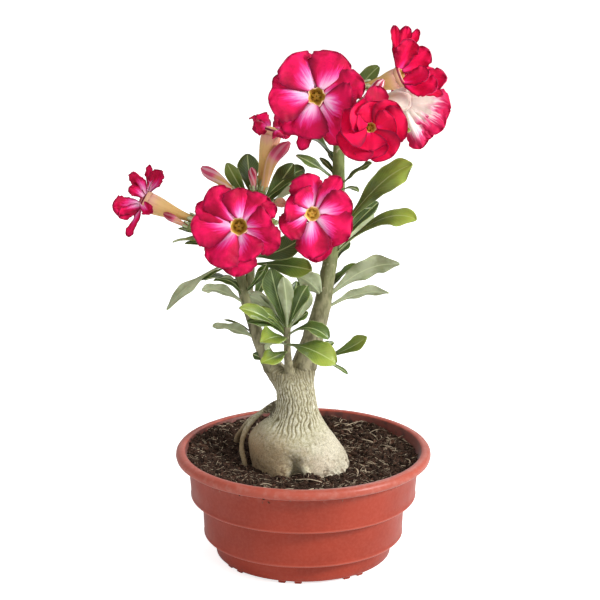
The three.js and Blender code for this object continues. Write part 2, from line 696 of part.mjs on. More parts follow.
// The stalk of a bloom or bud and the small green cup that holds it.
function stalk({ stem, from, base }, towards) {
  const root = STEMS[stem].curve.getPointAt(STEMS[stem].at(from));
  const end = vec(...base);
  const onward = vec(...towards).sub(end).normalize();
  const before = end.clone().addScaledVector(onward, -6);
  const line = curveThrough([root.toArray(), before.toArray(), end.toArray()]);
  const stop = 1 - GAP / line.getLength();
  const widths = [2, 1.7, 2.6, 3];
  return alongCurve(line, [0, 0.5, 0.84, 1].map((t, k) => [t * stop, widths[k]]), 8);
}

// ---------- buds ----------
// Each bud: its line from base to tip, its greatest radius, and where its stalk leaves its stem.
const BUDS = {
  bud_left: { line: [[-55, 2, 306], [-67, 2, 316], [-81, 2, 326]], radius: 4.6, stem: "leftInner", from: 290 },
  bud_opening: { line: [[-32, -4, 308], [-24, -4, 334], [-11, -8, 348]], radius: 5, stem: "leftInner", from: 292 },
  bud_small: { line: [[-39, -3, 309], [-40, -4, 318], [-41, -4, 327]], radius: 3.2, stem: "leftInner", from: 297 },
  bud_low: { line: [[-92, -8, 280], [-101, -8, 285], [-111, -8, 291]], radius: 3, stem: "left", from: 264 },
  bud_centre: { line: [[-22, -10, 300], [-19, -18, 302], [-16, -26, 303]], radius: 3.8, stem: "leftInner", from: 284 },
  bud_striped: { line: [[45, -12, 380], [53, -15, 389], [62, -18, 399]], radius: 4, stem: "right", from: 352 },
};

function bud({ line, radius }) {
  const curve = curveThrough(line);
  const shares = [0.5, 0.62, 0.86, 1, 0.86, 0.2];
  return alongCurve(curve, [0, 0.2, 0.5, 0.72, 0.9, 1].map((t, k) => [t, radius * shares[k]]), 8);
}

// ---------- leafy stems ----------
function leafyStem(names) {
  const bodies = [];
  for (const name of names) {
    const stem = STEMS[name];
    const start = name === names[0] ? barkEnd(stem) + gapShare(stem) : 0;
    bodies.push(stem.body(start, 1, 8, name === "right" ? 9 : 7));
    for (const each of LEAVES[name]) bodies.push(leaf(stem, each));
  }
  for (const bloom of Object.values(BLOOMS)) {
    if (names.includes(bloom.stem)) bodies.push(stalk(bloom, tubeLine(bloom).getPoint(0.1).toArray()));
  }
  for (const each of Object.values(BUDS)) {
    if (names.includes(each.stem)) bodies.push(stalk({ ...each, base: each.line[0] }, each.line[1]));
  }
  return tidied(join(bodies));
}

// ---------- the whole object ----------
const COLOURS = {
  pot: 0xb9523f,
  soil: 0x2e211b,
  bark: 0xb3a58a,
  leaf: 0x5f7d33,
  petal: 0xd5143f,
  tube: 0xd3ad73,
  bud: 0xd9738a,
};

const plant = new THREE.Group();
plant.add(
  subpart("pot", pot(), COLOURS.pot, 0.45),
  subpart("soil", soil(caudex(1.6 * GAP)), COLOURS.soil, 0.95),
  subpart("caudex", caudex(0), COLOURS.bark, 0.8),
  subpart("left_stem", leafyStem(["left", "leftInner"]), COLOURS.leaf, 0.5),
  subpart("right_stem", leafyStem(["right"]), COLOURS.leaf, 0.5),
  subpart("middle_shoot", leafyStem(["middle"]), COLOURS.leaf, 0.5),
);
for (const [name, bloom] of Object.entries(BLOOMS)) {
  plant.add(
    subpart(name + "_petals", bloomPetals(bloom), COLOURS.petal, 0.5),
    subpart(name + "_tube", bloomTube(bloom), COLOURS.tube, 0.6),
  );
}
for (const [name, each] of Object.entries(BUDS)) {
  plant.add(subpart(name, bud(each), COLOURS.bud, 0.6));
}

export default plant;
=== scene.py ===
# %% [markdown]
# # A potted desert rose
# An adenium is a small succulent tree. It has a swollen trunk, a few bare stems with leaves near their
# ends, and funnel-shaped blooms. This one stands in a round plastic bowl pot that is filled with dark soil.
# The solid model beside this script fixes every size. The script dresses it: each plain solid is
# replaced by a finer piece in the same place, and each piece gets a finish made of nodes.

import math

import bpy
import numpy as np
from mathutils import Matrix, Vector, noise


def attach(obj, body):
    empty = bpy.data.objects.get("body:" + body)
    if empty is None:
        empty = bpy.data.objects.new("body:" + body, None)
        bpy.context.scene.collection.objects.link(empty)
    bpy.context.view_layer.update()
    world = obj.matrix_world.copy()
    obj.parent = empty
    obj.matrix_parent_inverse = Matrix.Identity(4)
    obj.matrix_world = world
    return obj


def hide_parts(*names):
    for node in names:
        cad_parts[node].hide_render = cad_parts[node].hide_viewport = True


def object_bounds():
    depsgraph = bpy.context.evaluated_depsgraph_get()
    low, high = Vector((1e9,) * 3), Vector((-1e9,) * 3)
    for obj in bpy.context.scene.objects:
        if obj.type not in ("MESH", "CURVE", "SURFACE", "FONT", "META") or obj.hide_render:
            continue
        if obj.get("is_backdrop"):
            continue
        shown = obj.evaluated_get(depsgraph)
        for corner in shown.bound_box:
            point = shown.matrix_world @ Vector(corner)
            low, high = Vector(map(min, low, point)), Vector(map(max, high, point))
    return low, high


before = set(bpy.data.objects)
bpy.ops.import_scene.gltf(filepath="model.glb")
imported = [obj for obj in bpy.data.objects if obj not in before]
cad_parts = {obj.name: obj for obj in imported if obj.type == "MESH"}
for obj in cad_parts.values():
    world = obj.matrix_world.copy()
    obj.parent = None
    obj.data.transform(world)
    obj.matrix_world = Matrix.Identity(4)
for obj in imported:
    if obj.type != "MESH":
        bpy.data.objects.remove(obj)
cad_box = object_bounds()
MM = 0.001  # the script works in millimetres and makes its meshes in metres
print("nodes in the solid model:", len(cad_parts))

# %% [markdown]
# ## Small helpers for the finishes
# A finish is a tree of nodes. Two short functions keep such a tree readable: one adds a node and plugs its
# inputs, and one mixes two colours. Colours are written as they are on a paint card, and turned into
# the linear numbers that the renderer works with.

# %% Helpers for node trees


def colour(code):
    """A paint-card code such as "c8553f" as a linear colour."""
    parts = [int(code[k : k + 2], 16) / 255 for k in (0, 2, 4)]
    linear = [p / 12.92 if p < 0.04045 else ((p + 0.055) / 1.055) ** 2.4 for p in parts]
    return (*linear, 1.0)


def node(tree, kind, inputs=(), **settings):
    """Adds a node. Inputs are numbers, colours or the sockets of other nodes."""
    made = tree.nodes.new(kind)
    for name, value in settings.items():
        setattr(made, name, value)
    for name, value in dict(inputs).items():
        if isinstance(value, bpy.types.NodeSocket):
            tree.links.new(value, made.inputs[name])
        else:
            made.inputs[name].default_value = value
    return made


def mixed(tree, share, first, second):
    """Two colours mixed. The sockets of this node share their names, so they are given by number."""
    inputs = {0: share, 6: first, 7: second}
    return node(tree, "ShaderNodeMix", inputs, data_type="RGBA").outputs[2]


def maths(tree, operation, *values):
    return node(tree, "ShaderNodeMath", dict(enumerate(values)), operation=operation).outputs[0]


def ramped(tree, value, low, high, to_low=0.0, to_high=1.0):
    """Turns the range low to high into a smooth step."""
    inputs = {0: value, 1: low, 2: high, 3: to_low, 4: to_high}
    return node(tree, "ShaderNodeMapRange", inputs, interpolation_type="SMOOTHSTEP").outputs[0]


def grainy(tree, vector, scale, detail=3.0, roughness=0.55):
    """Noise from 0 to 1. A larger scale gives a finer grain."""
    inputs = {"Vector": vector, "Scale": scale, "Detail": detail, "Roughness": roughness}
    return node(tree, "ShaderNodeTexNoise", inputs).outputs[0]


def stretched(tree, vector, scale):
    """The same coordinates with each axis scaled, so that a grain runs lengthwise."""
    return node(tree, "ShaderNodeMapping", {"Vector": vector, "Scale": scale}).outputs[0]


def marked(tree, name):
    """A number that the mesh carries at each point."""
    return node(tree, "ShaderNodeAttribute", attribute_name=name).outputs["Fac"]


def stepped(tree, value, *stops):
    """A colour ramp through (place, colour) stops."""
    made = node(tree, "ShaderNodeValToRGB", {0: value})
    elements = made.color_ramp.elements
    while len(elements) < len(stops):
        elements.new(0.5)
    for element, (place, code) in zip(elements, stops):
        element.position = place
        element.color = colour(code)
    return made.outputs[0]


print("the paint-card code a53a24 in linear light:", [round(part, 3) for part in colour("a53a24")])

# %% [markdown]
# ## Effects that several finishes share
# Bark, soil, plastic and leaves are all uneven in colour and have a fine relief. Each of these effects is
# one node group with named inputs, so that a material only has to say how large and how strong it is.

# %% Shared node groups


def group(name, inputs, outputs):
    """An empty node group with named sockets."""
    tree = bpy.data.node_groups.new(name, "ShaderNodeTree")
    for label, kind, value in inputs:
        socket = tree.interface.new_socket(label, in_out="INPUT", socket_type="NodeSocket" + kind)
        if value is not None:
            socket.default_value = value
    for label, kind in outputs:
        tree.interface.new_socket(label, in_out="OUTPUT", socket_type="NodeSocket" + kind)
    return tree, node(tree, "NodeGroupInput").outputs, node(tree, "NodeGroupOutput")


mottle, given, result = group(
    "Mottle",
    [("Vector", "Vector", None), ("Scale", "Float", 60.0), ("Base", "Color", (1, 1, 1, 1)),
     ("Patch", "Color", (0, 0, 0, 1)), ("Amount", "Float", 0.5)],
    [("Color", "Color")],
)
patches = grainy(mottle, given["Vector"], given["Scale"], detail=5.0)
share = maths(mottle, "MULTIPLY", ramped(mottle, patches, 0.38, 0.66), given["Amount"])
mottle.links.new(mixed(mottle, share, given["Base"], given["Patch"]), result.inputs["Color"])

relief, given, result = group(
    "Fine relief",
    [("Vector", "Vector", None), ("Scale", "Float", 400.0), ("Coarse share", "Float", 0.5)],
    [("Height", "Float")],
)
fine = grainy(relief, given["Vector"], given["Scale"], detail=4.0)
coarse_scale = maths(relief, "MULTIPLY", given["Scale"], 0.22)
coarse = grainy(relief, given["Vector"], coarse_scale, detail=2.0)
height = maths(relief, "ADD", fine, maths(relief, "MULTIPLY", coarse, given["Coarse share"]))
relief.links.new(height, result.inputs["Height"])

dusting, given, result = group(
    "Dust",
    [("Vector", "Vector", None), ("Level", "Float", 0.09), ("Depth", "Float", 0.01),
     ("Scale", "Float", 120.0)],
    [("Mask", "Float")],
)
level = node(dusting, "ShaderNodeSeparateXYZ", {0: given["Vector"]}).outputs["Z"]
below = maths(dusting, "DIVIDE", maths(dusting, "SUBTRACT", given["Level"], level), given["Depth"])
near = ramped(dusting, maths(dusting, "ABSOLUTE", below), 1.0, 0.0)
specks = ramped(dusting, grainy(dusting, given["Vector"], given["Scale"], detail=6.0), 0.42, 0.72)
dusting.links.new(maths(dusting, "MULTIPLY", near, specks), result.inputs["Mask"])


def grouped(tree, shared, inputs):
    """Adds one of the shared effects to a finish."""
    return node(tree, "ShaderNodeGroup", inputs, node_tree=shared).outputs[0]


print("shared effects:", [tree.name for tree in (mottle, relief, dusting)])

# %% [markdown]
# ## Materials start alike
# Every finish is a Principled shader whose colour comes from nodes and whose fine relief comes from a Bump
# node. `finish` makes that beginning, and hands back the tree, its object coordinates and a function that
# plugs in the colour and the relief.

# %% A new finish


def finish(name, roughness=0.5, specular=0.5, subsurface=0.0, scatter=0.002):
    material = bpy.data.materials.new(name)
    material.use_nodes = True
    tree = material.node_tree
    shader = tree.nodes["Principled BSDF"]
    shader.inputs["Roughness"].default_value = roughness
    shader.inputs["Specular IOR Level"].default_value = specular
    shader.inputs["Subsurface Weight"].default_value = subsurface
    shader.inputs["Subsurface Scale"].default_value = scatter
    place = node(tree, "ShaderNodeTexCoord").outputs["Object"]

    def wear(paint, height=None, strength=0.3, distance=0.0005, rough=None):
        tree.links.new(paint, shader.inputs["Base Color"])
        if height is not None:
            inputs = {"Strength": strength, "Distance": distance, "Height": height}
            bump = node(tree, "ShaderNodeBump", inputs)
            tree.links.new(bump.outputs[0], shader.inputs["Normal"])
        if rough is not None:
            tree.links.new(rough, shader.inputs["Roughness"])
        return material

    return tree, place, wear


# %% [markdown]
# ## Small helpers for the shapes
# Most of this plant is long and thin: stems, roots, tubes, leaves and petals. They are all skins over a
# line, so the script makes smooth lines first and then lays rings of points along them. `Skin`
# collects the points and faces of one piece, with the numbers that its finish needs at each point.

# %% Lines
NEARLY_ZERO = 1e-12  # keeps a vector without a length from being divided by nothing


def unit(vectors):
    """The same directions, each 1 long."""
    vectors = np.asarray(vectors, float)
    return vectors / np.maximum(np.linalg.norm(vectors, axis=-1, keepdims=True), NEARLY_ZERO)


class Line:
    """A line that is read by the share of its length."""

    def __init__(self, points):
        self.points = np.asarray(points, float)
        steps = np.linalg.norm(np.diff(self.points, axis=0), axis=1)
        self.run = np.concatenate([[0.0], np.cumsum(steps)])
        self.length = self.run[-1]

    def at(self, share):
        """The point at a share of the line's length."""
        reach = np.asarray(share, float) * self.length
        return np.stack([np.interp(reach, self.run, axis) for axis in self.points.T], -1)

    def along(self, share, step=0.01):
        """The way the line runs at a share of its length."""
        share = np.asarray(share, float)
        return unit(self.at(np.minimum(share + step, 1)) - self.at(np.maximum(share - step, 0)))

    def share_at_height(self, level):
        """Where a rising line reaches a height, found by halving."""
        low, high = 0.0, 1.0
        for _ in range(30):
            middle = (low + high) / 2
            low, high = (middle, high) if self.at(middle)[2] < level else (low, middle)
        return low


def smooth_line(points, per_span=40):
    """A centripetal Catmull-Rom line, as the solid model's lines are."""
    p = np.asarray(points, float)
    p = np.vstack([2 * p[0] - p[1], p, 2 * p[-1] - p[-2]])
    t = np.linspace(0, 1, per_span, endpoint=False)[:, None]
    made = []
    for a, b, c, d in zip(p, p[1:], p[2:], p[3:]):
        ab, bc, cd = (math.sqrt(np.linalg.norm(q)) for q in (b - a, c - b, d - c))
        leave = ((b - a) / ab - (c - a) / (ab + bc) + (c - b) / bc) * bc
        arrive = ((c - b) / bc - (d - b) / (bc + cd) + (d - c) / cd) * bc
        made.append(
            b + leave * t + (-3 * b + 3 * c - 2 * leave - arrive) * t**2
            + (2 * b - 2 * c + leave + arrive) * t**3
        )
    return Line(np.vstack([*made, p[-2:-1]]))


def bezier_line(*corners, count=80):
    """A Bezier line through its first and last corner."""
    t = np.linspace(0, 1, count)[:, None]
    layer = [np.asarray(c, float)[None, :] + 0 * t for c in corners]
    while len(layer) > 1:
        layer = [a * (1 - t) + b * t for a, b in zip(layer, layer[1:])]
    return Line(layer[0])


def square_to(axis):
    """Two directions square to an axis, the second as near to upwards as it can be, and the axis."""
    axis = unit(axis)
    upright = (0, 1, 0) if abs(axis[2]) > 0.95 else (0, 0, 1)
    side = unit(np.cross(upright, axis))
    return side, np.cross(axis, side), axis


# %% Skins


class Skin:
    """The points and faces of one piece, and the numbers that its finish reads at each point."""

    def __init__(self):
        self.points, self.faces = [], []
        self.uvs, self.marks = [], []
        self.count = 0

    def rings(self, grid, uv, marks):
        """Adds a closed tube through rings of points, with a point at the middle of each end."""
        rows, sides, _ = grid.shape
        ends = np.stack([grid[0].mean(0), grid[-1].mean(0)])
        r, k = np.meshgrid(np.arange(rows - 1), np.arange(sides), indexing="ij")
        a = (r * sides + k).ravel()
        b = (r * sides + (k + 1) % sides).ravel()
        walls = np.stack([a, b, b + sides, a + sides], -1)
        edge = np.arange(sides)
        following = (edge + 1) % sides
        last = (rows - 1) * sides
        root, tip = rows * sides, rows * sides + 1
        first_cap = np.stack([following, edge, np.full(sides, root)], -1)
        last_cap = np.stack([edge + last, following + last, np.full(sides, tip)], -1)
        self.points.append(np.vstack([grid.reshape(-1, 3), ends]))
        for block in (walls, first_cap, last_cap):
            self.faces.extend((block + self.count).tolist())
        self.uvs.append(np.vstack([uv.reshape(-1, 2), uv[0].mean(0), uv[-1].mean(0)]))
        self.keep_marks(marks, rows, sides)
        self.count += rows * sides + 2
        return self

    def keep_marks(self, marks, rows, sides):
        """Writes each mark out for every point of a tube and for the middles of its two ends."""
        plain = {}
        for name, value in marks.items():
            full = np.broadcast_to(np.asarray(value, float), (rows, sides))
            plain[name] = np.concatenate([full.ravel(), [full[0].mean(), full[-1].mean()]])
        self.marks.append((rows * sides + 2, plain))

    def piece(self, name, material):
        """Makes the mesh object, in metres."""
        mesh = bpy.data.meshes.new(name)
        points = np.vstack(self.points) * MM
        mesh.from_pydata(points.tolist(), [], self.faces)
        corners = np.zeros(len(mesh.loops), int)
        mesh.loops.foreach_get("vertex_index", corners)
        uv = np.vstack(self.uvs)[corners]
        sizes = np.zeros(len(mesh.polygons), int)
        mesh.polygons.foreach_get("loop_total", sizes)
        owner = np.repeat(np.arange(len(sizes)), sizes)
        widest = np.full(len(sizes), -1e9)
        np.maximum.at(widest, owner, uv[:, 0])
        uv[:, 0] += widest[owner] - uv[:, 0] > 0.5  # the seam of a ring, where 1 meets 0
        mesh.uv_layers.new(name="grain").data.foreach_set("uv", uv.ravel())
        for label in sorted({label for _, plain in self.marks for label in plain}):
            values = [plain.get(label, np.zeros(total)) for total, plain in self.marks]
            made = mesh.attributes.new(label, "FLOAT", "POINT")
            made.data.foreach_set("value", np.concatenate(values).astype(np.float32))
        return placed(name, mesh, material)


# %% Pieces and swept tubes


def placed(name, mesh, material):
    """Puts a finished mesh in the scene, smooth and in its finish."""
    mesh.materials.clear()
    mesh.materials.append(material)
    mesh.polygons.foreach_set("use_smooth", [True] * len(mesh.polygons))
    made = bpy.data.objects.new(name, mesh)
    bpy.context.scene.collection.objects.link(made)
    return made


def sweep(skin, line, shares, radii, sides, shape=None, **marks):
    """Adds a round skin along a line. shape(angle, share) swells or pinches it."""
    shares = np.asarray(shares, float)
    centres, ways = line.at(shares), line.along(shares)
    side = square_to(ways[0])[0]
    angle = np.linspace(0, 2 * math.pi, sides, endpoint=False)
    grid = np.zeros((len(shares), sides, 3))
    for k, (centre, way, radius) in enumerate(zip(centres, ways, radii)):
        side = unit(side - way * (side @ way))
        up = np.cross(way, side)
        reach = radius * (shape(angle, shares[k]) if shape else np.ones(sides))
        grid[k] = centre + reach[:, None] * (np.cos(angle)[:, None] * side + np.sin(angle)[:, None] * up)
    uv = np.zeros((len(shares), sides, 2))
    uv[..., 0] = angle / (2 * math.pi)
    uv[..., 1] = shares[:, None] * line.length * MM
    named = {name: np.asarray(value, float) for name, value in marks.items()}
    named.setdefault("along", shares[:, None])
    return skin.rings(grid, uv, named)


print("helpers for lines and skins are ready")

# %% [markdown]
# ## The camera
# The camera comes early, so that every later picture can be judged from the right place. The photograph
# was taken from a little above, about 1.6 m away, with a long lens. The lens is written for a picture
# as wide as it is high.

# %% Camera
LOOK_DOWN = 0.2688  # radians
DISTANCE = 1600 * MM
LENS = 118.9
AIM = Vector((-2.7, 0, 217.3)) * MM

lens_data = bpy.data.cameras.new("camera")
lens_data.lens = LENS
lens_data.sensor_width = 36.0
camera = bpy.data.objects.new("camera", lens_data)
bpy.context.scene.collection.objects.link(camera)
back = Vector((0, -math.cos(LOOK_DOWN), math.sin(LOOK_DOWN)))
camera.location = AIM + back * DISTANCE
camera.rotation_euler = (math.pi / 2 - LOOK_DOWN, 0, 0)
bpy.context.scene.camera = camera
print("camera at", [round(x, 3) for x in camera.location])

# %% [markdown]
# ## The pot: plastic and its shape
# The real pot is one moulding of thin brick-red plastic in three tiers, with a thick rolled rim and a
# raised lip where one tier meets the next. A turned section is the right way to make it, because every
# level is round. The feet repeat round the base, so a small Geometry Nodes tree places them.

# %% Plastic finish
tree, place, wear = finish("pot plastic", roughness=0.42, specular=0.35)
base = grouped(tree, mottle, {"Vector": place, "Scale": 22.0, "Base": colour("a53a24"),
                              "Patch": colour("96321d"), "Amount": 0.8})
speckled = grouped(tree, mottle, {"Vector": place, "Scale": 420.0, "Base": base,
                                  "Patch": colour("c66450"), "Amount": 0.12})
# Painted highlight: the lips of the ledges and the rim are paler.
lip_highlight = ramped(tree, marked(tree, "lip"), 0.35, 1.0)
lip_highlighted = mixed(tree, maths(tree, "MULTIPLY", lip_highlight, 0.5), speckled, colour("c66654"))
rim_dust = grouped(tree, dusting, {"Vector": place, "Level": 0.088, "Depth": 0.016, "Scale": 190.0})
dusty = mixed(tree, maths(tree, "MULTIPLY", rim_dust, 0.3), lip_highlighted, colour("c98d80"))
# Painted shade darkens the inner wall, and dark smears lie on it.
inside_shade_and_smears = ramped(tree, marked(tree, "inside"), 0.5, 1.0)
smears = ramped(tree, grainy(tree, place, 130.0, detail=6.0), 0.5, 0.72)
shaded = mixed(tree, maths(tree, "MULTIPLY", inside_shade_and_smears, 0.85), dusty, colour("6c3a31"))
inner = mixed(tree, maths(tree, "MULTIPLY", inside_shade_and_smears, smears), shaded, colour("54302a"))
skin_height = grouped(tree, relief, {"Vector": place, "Scale": 700.0, "Coarse share": 1.4})
gloss = ramped(tree, grainy(tree, place, 60.0, detail=4.0), 0.3, 0.7, 0.36, 0.5)
pot_plastic = wear(inner, skin_height, strength=0.12, distance=0.0003, rough=gloss)
plastic_shader = tree.nodes["Principled BSDF"]
plastic_shader.inputs["Sheen Weight"].default_value = 0.25  # fine dust that whitens the turned-away sides
plastic_shader.inputs["Sheen Roughness"].default_value = 0.35
print("nodes in the plastic:", len(tree.nodes))

# %% Pot section
POT_SEGMENTS = 160
RIM_CREST = 91.4  # the points above this height are the crest of the rim, and the inside starts after it
# Half of the section as (radius, height, lip), from the middle of the underside, up the outside, over
# the rim and down the inside. lip says how much painted highlight an edge gets.
POT_SECTION = [
    (0, 2.5, 0), (20, 2.5, 0), (50, 2.5, 0), (69, 2.5, 0), (71.4, 2.7, 0.2), (72.3, 3.6, 0.3),
    (72.9, 8, 0), (74, 15, 0), (74.5, 18.2, 0),
    (76, 18.9, 0), (80.8, 19.1, 0.3), (82, 19.3, 0.9), (82.5, 19.9, 1), (82.6, 20.8, 0.8),
    (82.3, 21.6, 0.2), (82.4, 24, 0), (83, 38, 0), (83.8, 48, 0), (84, 51.2, 0),
    (85.6, 51.9, 0), (91, 52.1, 0.3), (92.4, 52.3, 0.9), (93, 52.9, 1), (93.1, 53.8, 0.8),
    (92.8, 54.6, 0.2),
    (93, 60, 0), (93.9, 70, 0), (94.7, 80, 0), (95.3, 82.8, 0), (97, 83.6, 0), (100.4, 83.5, 0.2),
    (102.8, 83.9, 0.5), (104.4, 85.2, 0.8), (105, 87.2, 0.9), (104.7, 89.2, 1), (103.5, 90.9, 1),
    (101.6, 91.8, 0.9), (99.6, 91.9, 0.8), (98, 91.6, 0.7), (97, 90.8, 0.5), (96.4, 89.4, 0.3),
    (95.6, 86.4, 0), (94.3, 83, 0), (93.4, 79, 0), (91, 58, 0), (90.6, 56, 0), (83, 55, 0),
    (81.8, 52, 0), (80, 24, 0), (79, 22.6, 0), (72.6, 22, 0), (70, 7, 0), (68, 5.6, 0), (40, 5.5, 0),
    (0, 5.5, 0),
]
print("points in the pot's section:", len(POT_SECTION))

# %% Pot


def turned(section, segments):
    """Turns half a section about the Z axis. Its first and last point lie on the axis."""
    angle = np.linspace(0, 2 * math.pi, segments, endpoint=False)
    section = np.asarray(section, float)[1:-1]
    grid = np.zeros((len(section), segments, 3))
    grid[..., 0] = section[:, :1] * np.cos(angle)
    grid[..., 1] = section[:, :1] * np.sin(angle)
    grid[..., 2] = section[:, 1:2]
    uv = np.zeros((*grid.shape[:2], 2))
    uv[..., 0] = angle / (2 * math.pi)
    uv[..., 1] = np.cumsum(np.r_[0, np.hypot(*np.diff(section[:, :2].T))])[:, None] * MM
    crest = section[:, 1] > RIM_CREST
    inside = (np.cumsum(crest) > 0) & ~crest
    return Skin().rings(grid, uv, {"lip": section[:, 2:3], "inside": inside[:, None]})


def with_drain_holes(pot_object, holes=6, circle=40.0, radius=4.5):
    """Cuts the round drain holes through the floor."""
    drill = Skin()
    for k in range(holes):
        turn = 2 * math.pi * k / holes
        x, y = circle * math.cos(turn), circle * math.sin(turn)
        sweep(drill, Line([(x, y, -5), (x, y, 15)]), [0, 1], [radius, radius], 24)
    cutter = drill.piece("drill", pot_plastic)
    cut = pot_object.modifiers.new("drain holes", "BOOLEAN")
    cut.operation = "DIFFERENCE"
    cut.solver = "EXACT"
    cut.object = cutter
    settled(pot_object)
    bpy.data.objects.remove(cutter)


def settled(made):
    """Turns an object's modifiers into its plain mesh."""
    depsgraph = bpy.context.evaluated_depsgraph_get()
    mesh = bpy.data.meshes.new_from_object(
        made.evaluated_get(depsgraph), preserve_all_data_layers=True, depsgraph=depsgraph
    )
    made.modifiers.clear()
    made.data = mesh
    return made


pot = turned(POT_SECTION, POT_SEGMENTS).piece("bowl_pot", pot_plastic)
with_drain_holes(pot)
print("pot faces:", len(pot.data.polygons))

# %% Trees that repeat a piece


def node_tree(name, inputs):
    """An empty Geometry Nodes tree with named inputs."""
    tree = bpy.data.node_groups.new(name, "GeometryNodeTree")
    tree.interface.new_socket("Geometry", in_out="OUTPUT", socket_type="NodeSocketGeometry")
    tree.interface.new_socket("Geometry", in_out="INPUT", socket_type="NodeSocketGeometry")
    for label, kind, value in inputs:
        socket = tree.interface.new_socket(label, in_out="INPUT", socket_type="NodeSocket" + kind)
        socket.default_value = value
    return tree, node(tree, "NodeGroupInput").outputs, node(tree, "NodeGroupOutput")


def grown(name, tree, values, material, ground=None):
    """Runs a tree on a mesh and keeps what it makes as a plain mesh object."""
    carrier = bpy.data.objects.new(name, ground.copy() if ground else bpy.data.meshes.new(name))
    modifier = carrier.modifiers.new("grow", "NODES")
    modifier.node_group = tree
    sockets = {item.name: item.identifier for item in tree.interface.items_tree if item.in_out == "INPUT"}
    for label, value in values.items():
        modifier[sockets[label]] = value
    bpy.context.scene.collection.objects.link(carrier)
    settled(carrier)
    carrier.data.materials.clear()
    carrier.data.materials.append(material)
    return carrier


# %% Tree of the feet
feet_tree, given, result = node_tree(
    "Feet",
    [("Count", "Int", 8), ("Circle", "Float", 0.067), ("Size", "Float", 0.006),
     ("Height", "Float", 0.0035), ("Turn", "Float", 0.0)],
)
circle = node(feet_tree, "GeometryNodeMeshCircle", {"Vertices": given["Count"], "Radius": given["Circle"]})
turn = node(feet_tree, "ShaderNodeCombineXYZ", {"Z": given["Turn"]})
half_height = maths(feet_tree, "MULTIPLY", given["Height"], 0.5)
rise = node(feet_tree, "ShaderNodeCombineXYZ", {"Z": half_height})
spots = node(feet_tree, "GeometryNodeTransform",
             {"Geometry": circle.outputs[0], "Rotation": turn.outputs[0], "Translation": rise.outputs[0]})
sizes = node(feet_tree, "ShaderNodeCombineXYZ",
             {"X": given["Size"], "Y": given["Size"], "Z": given["Height"]})
foot = node(feet_tree, "GeometryNodeMeshCube", {"Size": sizes.outputs[0]})
position = node(feet_tree, "GeometryNodeInputPosition").outputs[0]
flat = node(feet_tree, "ShaderNodeVectorMath", {0: position, 1: (1, 1, 0)}, operation="MULTIPLY")
outwards = node(feet_tree, "FunctionNodeAlignRotationToVector", {"Vector": flat.outputs[0]},
                axis="X", pivot_axis="Z")
feet = node(feet_tree, "GeometryNodeInstanceOnPoints",
            {"Points": spots.outputs[0], "Instance": foot.outputs[0], "Rotation": outwards.outputs[0]})
real = node(feet_tree, "GeometryNodeRealizeInstances", {"Geometry": feet.outputs[0]})
dressed = node(feet_tree, "GeometryNodeSetMaterial", {"Geometry": real.outputs[0], "Material": pot_plastic})
feet_tree.links.new(dressed.outputs[0], result.inputs[0])
print("nodes in the tree of the feet:", len(feet_tree.nodes))

# %% Feet
PAIR_TURN = -99  # direction of the first pair of feet, in degrees
HALF_PAIR = 5.5  # each foot stands this many degrees to one side of its pair's direction
FOOT_HEIGHT = 3.5
MIDDLE_FOOT = [(0, 0, 0), (8, 0, 0), (9, 0.9, 0), (9, 3.4, 0), (0, 3.4, 0)]

for label, offset in (("first", -HALF_PAIR), ("second", HALF_PAIR)):
    values = {"Turn": math.radians(PAIR_TURN + offset), "Height": FOOT_HEIGHT * MM}
    feet = grown("pot_feet_" + label, feet_tree, values, pot_plastic)
    rounding = feet.modifiers.new("rounded", "BEVEL")
    rounding.width = 0.9 * MM
    rounding.segments = 3
    settled(feet)
    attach(feet, "root")
middle_foot = turned(MIDDLE_FOOT, 48).piece("pot_middle_foot", pot_plastic)
for made in (pot, middle_foot):
    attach(made, "root")
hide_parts("pot")
print("feet placed: 16 and one in the middle")

# %% [markdown]
# ## Soil
# The potting mix is dark peat with crumbs, bits of bark and many tan fibres. The ground itself is a turned
# body whose top is pushed up and down by noise. The loose bits repeat in their thousands, so a Geometry
# Nodes tree scatters them with a fixed seed. Five trees would differ only in the bit they scatter, so
# one function builds the tree round any bit.

# %% Soil finishes
tree, place, wear = finish("soil", roughness=0.95, specular=0.15)
dark = grouped(tree, mottle, {"Vector": place, "Scale": 170.0, "Base": colour("150c09"),
                              "Patch": colour("35241c"), "Amount": 0.85})
flecked = grouped(tree, mottle, {"Vector": place, "Scale": 900.0, "Base": dark,
                                 "Patch": colour("6d5443"), "Amount": 0.4})
crumbs = grouped(tree, relief, {"Vector": place, "Scale": 800.0, "Coarse share": 1.2})
soil_finish = wear(flecked, crumbs, strength=0.9, distance=0.0012)

tree, place, wear = finish("fibre", roughness=0.85, specular=0.2)
straw = grouped(tree, mottle, {"Vector": place, "Scale": 90.0, "Base": colour("d2bfa4"),
                               "Patch": colour("4a372a"), "Amount": 1.0})
fibre_finish = wear(straw, grainy(tree, place, 1500.0), strength=0.4, distance=0.0002)

tree, place, wear = finish("bark chip", roughness=0.9, specular=0.2)
chip = grouped(tree, mottle, {"Vector": place, "Scale": 130.0, "Base": colour("5b4032"),
                              "Patch": colour("2a1a13"), "Amount": 0.8})
chip_finish = wear(chip, grainy(tree, place, 900.0), strength=0.6, distance=0.0004)
print("soil finishes:", [material.name for material in (soil_finish, fibre_finish, chip_finish)])

# %% Ground
SOIL_LEVEL = 75.0
SOIL_EDGE = 83.0
SOIL_RADIUS = 92.0
SOIL_RINGS, SOIL_SEGMENTS = 84, 190
HEAP, HEAP_REACH = 5.5, 3.6  # how much higher and wider the soil lies at the back left
MOUND = (5.0, -43.0, 6.0, 8.0)  # a small mound before the cleft of the bulb: x, y, height, spread
HUMPS = [(1.7, 17, 1), (1.5, 7, 5), (1.0, 3.2, 9)]  # height, size and seed of each layer of humps
# The plain side of the soil as (radius, height), from the edge of its floor upwards.
SOIL_SIDE = [(69, 6), (72, 22.6), (79, 23.4), (81.5, 54), (90, 56.5), (91.6, 78)]


